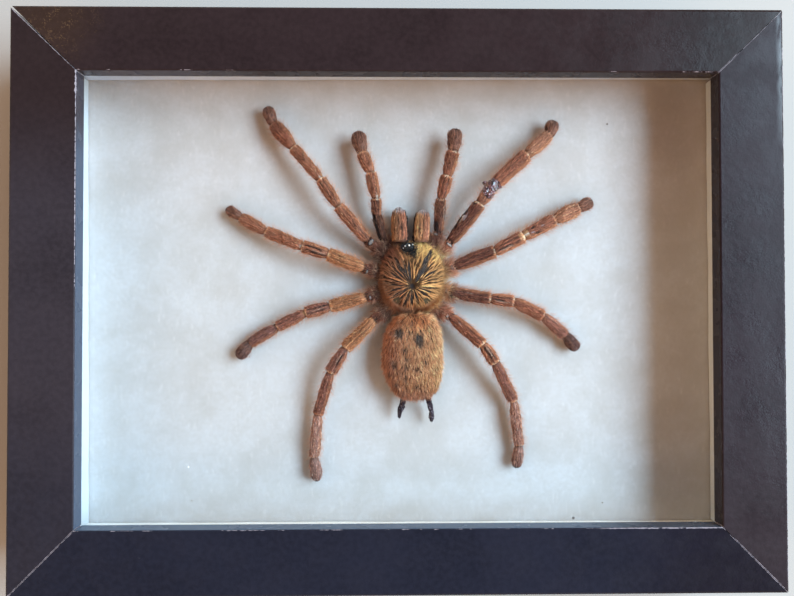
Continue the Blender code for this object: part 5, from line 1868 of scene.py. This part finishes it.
# Smaller dark marks down the middle
ABDOMEN_MARKS = (
    (3.4, -6.2, 0.45, 0.6), (2.9, -8.2, 0.40, 0.8), (1.7, -13.2, 0.55, 0.9), (1.8, -15.6, 0.45, 1.0),
    (1.7, -18.3, 0.40, 1.3), (1.8, -21.0, 0.38, 1.4), (-1.2, -17.3, 0.75, 1.0), (7.2, -17.0, 0.45, 0.7),
    (4.7, -18.4, 0.95, 0.6), (-0.6, -22.9, 1.1, 0.40), (4.9, -23.3, 1.1, 0.38), (-2.8, -20.0, 0.35, 0.9),
)


def abdomen_darkness(x, y):
    """How dark the abdomen is at a place, from 0 to 1: ovals whose edges two sine waves make
    ragged, the patches darker than the marks."""
    dark = np.zeros(np.shape(x))
    for ovals, depth in ((ABDOMEN_PATCHES, 0.95), (ABDOMEN_MARKS, 0.68)):
        for oval in ovals:
            off = off_centre(x, y, oval) + 0.25 * np.sin(4 * x + 3 * y) + 0.15 * np.sin(9 * x - 5 * y)
            dark = np.maximum(dark, depth * smooth_step(1.35, 0.6, off))
    return dark


def abdomen_tint(points, looks, jitter):
    """Tan to the right and in the middle, rust down the left side, orange at the front."""
    across = (points[..., 0] - ABDOMEN_CENTRE[0]) / ABDOMEN_HALF[0]
    forward = (points[..., 1] - ABDOMEN_CENTRE[1]) / ABDOMEN_HALF[1]
    tint = blend(looks.tan, (0.72, 0.408, 0.228), smooth_step(-0.1, 0.7, across + 0.1 * jitter))
    tint = blend(tint, (0.49, 0.243, 0.175), smooth_step(-0.15, -0.85, across + 0.1 * jitter) * 0.85)
    tint = blend(tint, (0.76, 0.33, 0.15), smooth_step(0.5, 0.9, forward) * bell(across, 0.1, 0.6))
    front = smooth_step(0.58, 0.90, forward + 0.10 * np.sin(9 * across) + 0.06 * jitter)
    tint = blend(tint, (0.42, 0.165, 0.080), front * 0.36)
    return blend(tint, (0.46, 0.235, 0.180), smooth_step(-0.62, -0.92, forward) * 0.7)


def add_abdomen(looks, bare, hair):
    """The skin in the hair's colours but darker, grey-black in the marks, and its coat."""
    points = abdomen_shape(*grid(np.linspace(0.012, 0.988, 90), 96))
    obj = skin("abdomen", points, abdomen_shape(np.array((0.0, 1.0)), 0.0))
    dark = abdomen_darkness(points[..., 0], points[..., 1])
    tint = blend(abdomen_tint(points, looks, 0.0) * 0.12, (0.03, 0.027, 0.027), dark)
    paint(obj, tint)
    finish_piece(obj, bare, "abdomen_hair", "abdomen")
    add_abdomen_hair(looks, hair)


ABDOMEN_HAIRS, ABDOMEN_LOCKS = 30000, 3600


def add_abdomen_hair(looks, material):
    """Hair in locks that point to the rear, closed up to points with darker gaps between them. The
    rear and the sides have a loose fringe, and a few hairs stand off everywhere."""
    random = np.random.default_rng(looks.seed + 1)
    count = int(ABDOMEN_HAIRS * looks.hairs)

    def density(u, v):
        """Thinner below and on the marks."""
        place = abdomen_shape(u, v)
        return thin_below(v, 0.25, -0.7, 0.0) * (1 - 0.8 * abdomen_darkness(place[..., 0], place[..., 1]))

    u, v = scatter(abdomen_shape, count, random, density)
    place, normal, _ = surface_frame(abdomen_shape, np.clip(u, 0.01, 0.99), v, -1.0)
    rearward = np.tile((0.0, -1.0, 0.0), (count, 1))
    rearward[:, 0] = 0.09 * np.sin(place[:, 0] * 1.3 + place[:, 1] * 0.8)
    rearward[:, 0] += 0.05 * (place[:, 0] - ABDOMEN_CENTRE[0])
    flat = unit(rearward - normal * np.einsum("ij,ij->i", rearward, normal)[:, None] * 0.9)
    length = random.uniform(1.0, 1.9, count)
    locks_count = int(ABDOMEN_LOCKS * max(looks.hairs, 0.3))
    centres = abdomen_shape(*scatter(abdomen_shape, locks_count, random, density))
    shade, sway = locks(place, flat, normal, length, centres, random, 0.7, 0.26, 9)
    lift = np.radians(np.clip(random.normal(13, 4, count), 4, 28))
    rear = smooth_step(-22.0, -26.5, place[:, 1])
    outline = smooth_step(0.5, 0.1, np.abs(normal[:, 2]))
    ends = np.maximum(outline, smooth_step(-6.5, -4.5, place[:, 1]))
    tuft = smooth_step(0.10, 0.6, ripple(place, 0.8, 42) + random.normal(0, 0.3, count)) * ends
    lift = lift * (1 - 0.6 * outline) + np.radians(random.uniform(-4, 10, count)) * rear
    lift = lift + np.radians(random.uniform(10, 42, count)) * tuft
    length = length * (1 + 0.35 * rear + 0.25 * tuft)
    loose = random.random(count) < 0.05 + 0.10 * ends
    lift[loose] += np.radians(random.uniform(8, 36, loose.sum()))
    width = random.uniform(0.075, 0.12, count)
    width[loose] *= 0.55
    dark = abdomen_darkness(place[:, 0], place[:, 1])
    tint = abdomen_tint(place, looks, random.normal(size=count))
    tint = blend(tint, (0.125, 0.105, 0.092), np.clip(dark * 1.1, 0, 1) * 0.90)
    tint = tint * (shade * np.exp(random.normal(0, 0.2, count)))[:, None]
    tint = np.where(loose[:, None], tint * 1.25, tint)
    obj = hairs(
        "abdomen_hair", place - normal * 0.06, tilted(flat, normal, lift, sway), normal, length, width,
        random.uniform(0.02, 0.06, count), np.clip(tint * 0.38, 0, 1), np.clip(tint * 1.2, 0, 1),
    )
    finish_piece(obj, material, "abdomen_hair")


def chelicera_shape(side):
    """A jaw from u = 0 under the carapace's edge to 1 at its tip, through rounded sections whose
    sizes run smoothly from one given section to the next."""
    base, tip = np.array(CHELICERA_BASES[side]) - (0, 0.5), np.array(CHELICERA_TIPS[side])
    shares, *table = CHELICERA_SECTIONS.T

    def shape(u, v):
        """The point at u along the jaw and v round it."""
        u, v = np.broadcast_arrays(np.clip(u, 0, 1), v)
        half_x, middle, half_z = [np.interp(u, shares, sizes) for sizes in table]
        blunt = np.sqrt(np.clip(1 - smooth_step(0.97, 1.0, u) ** 2, 0.02, 1))
        narrow = 0.865 + 0.06 * smooth_step(0.72, 0.86, u) + 0.12 * smooth_step(0.08, 0.0, u)
        wide, high = half_x * narrow * blunt, half_z * 0.9 * blunt
        x, z = superellipse(2 * math.pi * v, wide, high, CHELICERA_SQUARENESS)
        centre = base + 0.975 * u[..., None] * (tip - base)
        return joined(centre[..., 0] + x, centre[..., 1], BACKING + middle + z)

    return shape


def jaw_tint(side, u, v, looks, jitter):
    """Rust hair with umber streaks, black on the inner side, two furrows on top, and whitish grey
    at the tip."""
    top = from_top(360 * v)
    inward = -top if side == "left" else top
    streak = np.sin(np.radians(13 * top) + 2 * np.sin(4 * u) + jitter) + np.sin(np.radians(23 * top) + 5 * u)
    gold = (0.69, 0.37, 0.172) if side == "right" else (0.41, 0.210, 0.107)
    base = blend(looks.rust, gold, np.clip(0.55 + 0.5 * np.sin(np.radians(top * 2 - 10)), 0, 1))
    tint = base * np.exp(0.19 * streak)[..., None]
    furrow = bell(inward, 12, 5) * smooth_step(0.05, 0.2, u) * smooth_step(0.55, 0.4, u)
    furrow = furrow + 0.8 * bell(inward, -8, 4) * smooth_step(0.3, 0.42, u) * smooth_step(0.75, 0.62, u)
    black = smooth_step(48, 66, inward) * smooth_step(175, 150, inward)
    tint = blend(tint, (0.014, 0.011, 0.011), np.clip(furrow * 0.8 + black, 0, 1))
    grey = smooth_step(0.74, 0.88, u + jitter * 0.06)
    return blend(tint, (0.60, 0.55, 0.57), grey * 0.92 * (1 - 0.7 * np.clip(black, 0, 1)))


JAW_HAIRS, SPINNERET_HAIRS = 4700, 450


def add_chelicera(side, looks, bare, hair):
    """One jaw: its skin, and hair combed forward that closes to a pointed brush over the tip."""
    shape = chelicera_shape(side)
    u, v = grid(np.linspace(0, 1, 60), 48)
    obj = skin("chelicera_" + side, shape(u, v))
    paint(obj, jaw_tint(side, u, v, looks, 0.0) * 0.3)
    finish_piece(obj, bare, "jaw_hair", "chelicera_" + side)
    random = np.random.default_rng(looks.seed + (2 if side == "left" else 3))
    count = int(JAW_HAIRS * looks.hairs)
    u, v = scatter(shape, count, random, lambda u, v: thin_below(v, 0.25, -0.6, 0.0))
    place, normal, along = surface_frame(shape, np.clip(u, 0.01, 0.985), v)
    tip = np.array((*CHELICERA_TIPS[side], BACKING + 3.6)) + (0, 0.4, 0)
    to_tip = unit(tip - place)
    along = unit(along + to_tip * smooth_step(0.7, 0.95, u)[:, None] * 1.2)
    lift = np.radians(np.clip(random.normal(9, 3, count), 2, 20)) * (1 - 0.6 * smooth_step(0.7, 1, u))
    length = random.uniform(0.8, 1.6, count) * (1 - 0.3 * smooth_step(0.8, 1.0, u))
    centres = shape(*scatter(shape, count // 8, random, lambda u, v: np.ones(u.shape)))
    shade, sway = locks(place, along, normal, length, centres, random, 0.7, 0.20, 5)
    tint = jaw_tint(side, u, v, looks, random.normal(size=count) * 0.4)
    tint = np.clip(tint * (shade * np.exp(random.normal(0, 0.15, count)))[:, None], 0, 1)
    coat = hairs(
        "chelicera_" + side + "_hair", place - normal * 0.06, tilted(along, normal, lift, sway), normal,
        length, random.uniform(0.08, 0.13, count), random.uniform(0.01, 0.05, count),
        tint * 0.5, np.clip(tint * 1.2, 0, 1),
    )
    finish_piece(coat, hair, "jaw_hair")


def add_spinneret(side, looks, bare, hair):
    """A rough three-jointed spinneret with short dark bristles."""
    limb = Limb(side, ("base", "middle", "end"), SPINNERETS[side], SPINNERET_WIDTHS)
    points = limb.shape(*grid(np.linspace(0, 1, 70), 28))
    centre = points.mean(axis=1, keepdims=True)
    points = centre + (points - centre) * (1.06 + 0.20 * ripple(points, 1.1, 23))[..., None]
    points = points + 0.15 * ripple(points, 0.55, 21)[..., None] * unit(points - centre)
    obj = skin("spinneret_" + side, points)
    # painted highlights: pale lilac spots on the black skin stand in for sparkling glints
    pale = smooth_step(0.55, 1.0, ripple(points, 0.45, 22))
    tint = blend((0.026, 0.018, 0.025), (0.50, 0.43, 0.50), pale * 0.8)
    paint(obj, tint)
    finish_piece(obj, bare, "spinneret_skin", "spinneret_" + side)
    random = np.random.default_rng(looks.seed + (4 if side == "left" else 5))
    count = int(SPINNERET_HAIRS * looks.hairs)

    def density(u, v):
        """Thinner below."""
        return 0.3 + 0.7 * (np.sin(2 * math.pi * v) > -0.5)

    u, v = scatter(limb.shape, count, random, density)
    place, normal, _ = surface_frame(limb.shape, u, v)
    lift = np.radians(random.uniform(12, 50, count))
    sway = np.radians(random.normal(0, 15, count))
    tint = np.array((0.045, 0.03, 0.034)) * np.exp(random.normal(0, 0.5, (count, 1)))
    tint = np.where(random.random((count, 1)) < 0.06, (0.5, 0.42, 0.40), tint)
    coat = hairs(
        "spinneret_" + side + "_hair", place - normal * 0.04, tilted(limb.direction(u), normal, lift, sway),
        normal, random.uniform(0.2, 0.5, count), random.uniform(0.05, 0.08, count),
        random.uniform(0.0, 0.06, count), tint, tint,
    )
    finish_piece(coat, hair, "spinneret_skin")


class SPECIMEN_OT_abdomen(bpy.types.Operator):
    """The abdomen with its rearward locks of hair, and the two spinnerets"""

    bl_idname = "specimen.abdomen"
    bl_label = "Abdomen and spinnerets"

    def execute(self, context):
        looks = context.scene.specimen_looks
        add_abdomen(looks, coat_material("abdomen skin", 0.3), coat_material("abdomen hair", 0.22))
        bare = coat_material("spinneret skin", 0.4, dull=False)
        hair = coat_material("spinneret hair", 0.3)
        for side in SPINNERETS:
            add_spinneret(side, looks, bare, hair)
        return {"FINISHED"}


class SPECIMEN_OT_jaws(bpy.types.Operator):
    """The two chelicerae, combed forward"""

    bl_idname = "specimen.jaws"
    bl_label = "Jaws"

    def execute(self, context):
        looks = context.scene.specimen_looks
        bare, hair = coat_material("jaw skin", 0.3), coat_material("jaw hair", 0.22)
        for side in CHELICERA_TIPS:
            add_chelicera(side, looks, bare, hair)
        return {"FINISHED"}


# ---- Resin ----

def resin_material():
    """Hard dark plum-brown resin with a wet gloss and pale lilac crystals."""
    material, tree, shader = new_material("dried resin")
    place = object_place(tree)
    cloud = mottle(tree, place, 0.8, 0.4, 0.62)
    grains = specks(tree, place, 0.50, 0.17, 0.30)
    colour = mixed(tree, cloud, (0.022, 0.009, 0.017), (0.13, 0.047, 0.058))
    colour = mixed(tree, times(tree, grains, 0.8), colour, (0.60, 0.47, 0.57))
    feed(tree, shader, colour, cloud, 0.10, 0.25)
    shader.inputs["Coat Weight"].default_value = 0.8
    set_bump(tree, shader, arithmetic(tree, "ADD", cloud, grains), 0.10)
    return material


CRUST = (3.3, 2.6)  # how far it reaches towards the body and towards the tip, in mm
KNOB = (24.2, 32.9, 6.9)


def add_resin_bead(material):
    """A lumpy crust round the leg's knee: its thickness over the limb's girth swings with a coarse
    and a fine ripple and runs out at a slanting edge. A knob stands out on the left."""
    limb = Limb("crust", *LIMBS["leg_1_right"])
    angle = round_angles(72)
    share = np.linspace(-1, 1, 60)[:, None]
    slant = 0.9 * np.cos(angle) + 0.25 * np.sin(5 * angle)
    s = limb.ends[4] - 0.9 + np.where(share < 0, CRUST[0], CRUST[1]) * share + slant * (1 - share**2)
    out = limb.outward(s, angle)
    base = limb.read(limb.centre, s) + (limb.read(limb.radius, s) * SKIN_SHARE)[..., None] * out
    thick = 0.34 + 0.24 * ripple(base, 1.9, 31) + 0.13 * ripple(base, 0.6, 32)
    points = base + ((thick + 0.25) * (1 - share**6) - 0.25)[..., None] * out
    finish_piece(skin("resin_bead", points), material, "leg_hair")
    ball = ball_points((0, 0, 0), (1, 1, 1), 24, 36)
    lump = 1 + 0.12 * ripple(ball, 0.9, 33)
    knob = ball * lump[..., None] * (0.75, 0.7, 0.8) + KNOB + (0, 0, BACKING)
    finish_piece(skin("resin_knob", knob), material, "leg_hair")


class SPECIMEN_OT_resin(bpy.types.Operator):
    """The bead of dried resin round the knee of the right front leg"""

    bl_idname = "specimen.resin"
    bl_label = "Resin bead"

    def execute(self, context):
        add_resin_bead(resin_material())
        return {"FINISHED"}


# ---- Stage ----

FLOOR_REACH = 3000.0
FLOOR_DROP = 0.05
FLOOR_RINGS, FLOOR_SPOKES = 12, 64
KEY_DISTANCE = 1.2
KEY_WIDTH = 0.95
KEY_HEIGHT = 0.54


def add_floor(studio):
    """A flat plain floor just under the frame, as rings that widen evenly."""
    radius = np.linspace(0.02, 1.0, FLOOR_RINGS)[:, None] ** 2 * FLOOR_REACH
    turn = round_angles(FLOOR_SPOKES)
    points = joined(radius * np.cos(turn), radius * np.sin(turn), -FLOOR_DROP).reshape(-1, 3)
    spoke = np.arange(FLOOR_SPOKES)
    fan = joined(len(points), spoke, (spoke + 1) % FLOOR_SPOKES)
    points = np.concatenate([points, [(0.0, 0.0, -FLOOR_DROP)]])
    floor = new_mesh("floor", points, [sheet_faces(FLOOR_RINGS, FLOOR_SPOKES)[:, ::-1], fan], smooth=False)
    material, tree, shader = new_material("pale floor")
    cloud = mottle(tree, object_place(tree), 60.0, 0.3, 0.7)
    pale = tuple(studio.floor)
    colour = mixed(tree, times(tree, cloud, 0.3), pale, scaled(pale, 0.96))
    tree.links.new(colour, shader.inputs["Base Color"])
    shader.inputs["Roughness"].default_value = 0.85
    floor.data.materials.append(material)


def add_key_light(studio):
    """One large soft lamp, its direction given by its height and its turn from +X."""
    lamp = bpy.data.lights.new("key light", "AREA")
    lamp.energy = studio.key_power
    lamp.color = studio.key_colour
    lamp.shape = "RECTANGLE"
    lamp.size = KEY_WIDTH
    lamp.size_y = KEY_HEIGHT
    light = bpy.data.objects.new("key light", lamp)
    height, side = studio.key_height, studio.key_side
    level = math.cos(height)
    direction = Vector((level * math.cos(side), level * math.sin(side), math.sin(height)))
    light.location = direction * KEY_DISTANCE
    light.rotation_euler = direction.to_track_quat("Z", "Y").to_euler()
    bpy.context.scene.collection.objects.link(light)


def set_world(studio):
    """Soft light from all round: the side fill at the horizon goes over into the top fill with the
    square of the height, warmer from -Y and cooler from +Y, and stronger and cooler from +X.
    Straight above it is dark, so that the glass shows no haze."""
    world = bpy.data.worlds.new("soft room light")
    world.use_nodes = True
    tree = world.node_tree
    direction = add_node(tree, "ShaderNodeTexCoord").outputs["Generated"]
    right, forward, up = add_node(tree, "ShaderNodeSeparateXYZ", {0: direction}).outputs
    colour = mixed(tree, times(tree, up, up), tuple(studio.side_fill), tuple(studio.top_fill))
    tilt = mixed(tree, spread(tree, forward, -0.7, 0.7), (1.20, 1.04, 0.88), (1.04, 1.12, 1.28))
    colour = mixed(tree, 1.0, colour, tilt, "MULTIPLY")
    boost = mixed(tree, spread(tree, right, 0.1, 0.8), (1.0, 1.0, 1.0), (1.5, 2.0, 2.8))
    colour = mixed(tree, 1.0, colour, boost, "MULTIPLY")
    colour = mixed(tree, spread(tree, up, 0.75, 0.86), colour, (0.045, 0.042, 0.055))
    path = add_node(tree, "ShaderNodeLightPath")
    low = times(tree, path.outputs["Is Glossy Ray"], spread(tree, up, 0.45, 0.15))
    colour = mixed(tree, low, colour, (0.50, 0.49, 0.48))
    backdrop = mixed(tree, spread(tree, up, -0.1, 0.6), (0.66, 0.66, 0.66), (0.52, 0.53, 0.55))
    colour = mixed(tree, path.outputs["Is Camera Ray"], colour, backdrop)
    tree.links.new(colour, tree.nodes["Background"].inputs[0])
    tree.nodes["Background"].inputs[1].default_value = 1.0
    bpy.context.scene.world = world


def add_camera():
    """A camera at its place, turned by the inverse of the turn from the world's axes to its own."""
    camera = bpy.data.objects.new("camera", bpy.data.cameras.new("camera"))
    camera.location = CAMERA_PLACE
    turn = Vector(CAMERA_TURN)
    camera.rotation_mode = "QUATERNION"
    camera.rotation_quaternion = Quaternion(turn.normalized(), turn.length).inverted()
    camera.data.lens = LENS
    camera.data.sensor_width = SENSOR
    camera.data.clip_start = 0.01
    bpy.context.scene.collection.objects.link(camera)
    bpy.context.scene.camera = camera


class SPECIMEN_OT_stage(bpy.types.Operator):
    """Floor, light and camera"""

    bl_idname = "specimen.stage"
    bl_label = "Stage"

    def execute(self, context):
        studio = context.scene.studio_looks
        add_floor(studio)
        add_key_light(studio)
        set_world(studio)
        add_camera()
        context.scene.view_settings.view_transform = "Standard"
        return {"FINISHED"}


# ---- Panel, registration and the run ----

GROUPS = {"frame_finish": FrameFinish, "specimen_looks": SpecimenLooks, "studio_looks": StudioLooks}
OPERATORS = (
    SPECIMEN_OT_rails, SPECIMEN_OT_layers, SPECIMEN_OT_fittings, SPECIMEN_OT_carapace, SPECIMEN_OT_jaws,
    SPECIMEN_OT_abdomen, SPECIMEN_OT_limbs, SPECIMEN_OT_resin, SPECIMEN_OT_stage,
)


class SPECIMEN_PT_panel(bpy.types.Panel):
    """Settings and steps in the sidebar"""

    bl_idname = "SPECIMEN_PT_panel"
    bl_label = "Framed Specimen"
    bl_space_type = "VIEW_3D"
    bl_region_type = "UI"
    bl_category = "Specimen"

    def draw(self, context):
        for name, group in GROUPS.items():
            box = self.layout.box()
            for setting in group.__annotations__:
                box.prop(getattr(context.scene, name), setting)
        for operator in OPERATORS:
            self.layout.operator(operator.bl_idname)


def register():
    for item in (*GROUPS.values(), *OPERATORS, SPECIMEN_PT_panel):
        bpy.utils.register_class(item)
    for name, group in GROUPS.items():
        setattr(bpy.types.Scene, name, bpy.props.PointerProperty(type=group))


def unregister():
    for name in GROUPS:
        delattr(bpy.types.Scene, name)
    for item in reversed((*GROUPS.values(), *OPERATORS, SPECIMEN_PT_panel)):
        bpy.utils.unregister_class(item)


def main():
    register()
    make_groups()
    bpy.ops.specimen.rails()
    bpy.ops.specimen.layers()
    bpy.ops.specimen.fittings()
    bpy.ops.specimen.carapace()
    bpy.ops.specimen.jaws()
    bpy.ops.specimen.abdomen()
    bpy.ops.specimen.limbs()
    bpy.ops.specimen.resin()
    bpy.ops.specimen.stage()


if __name__ == "__main__":
    main()
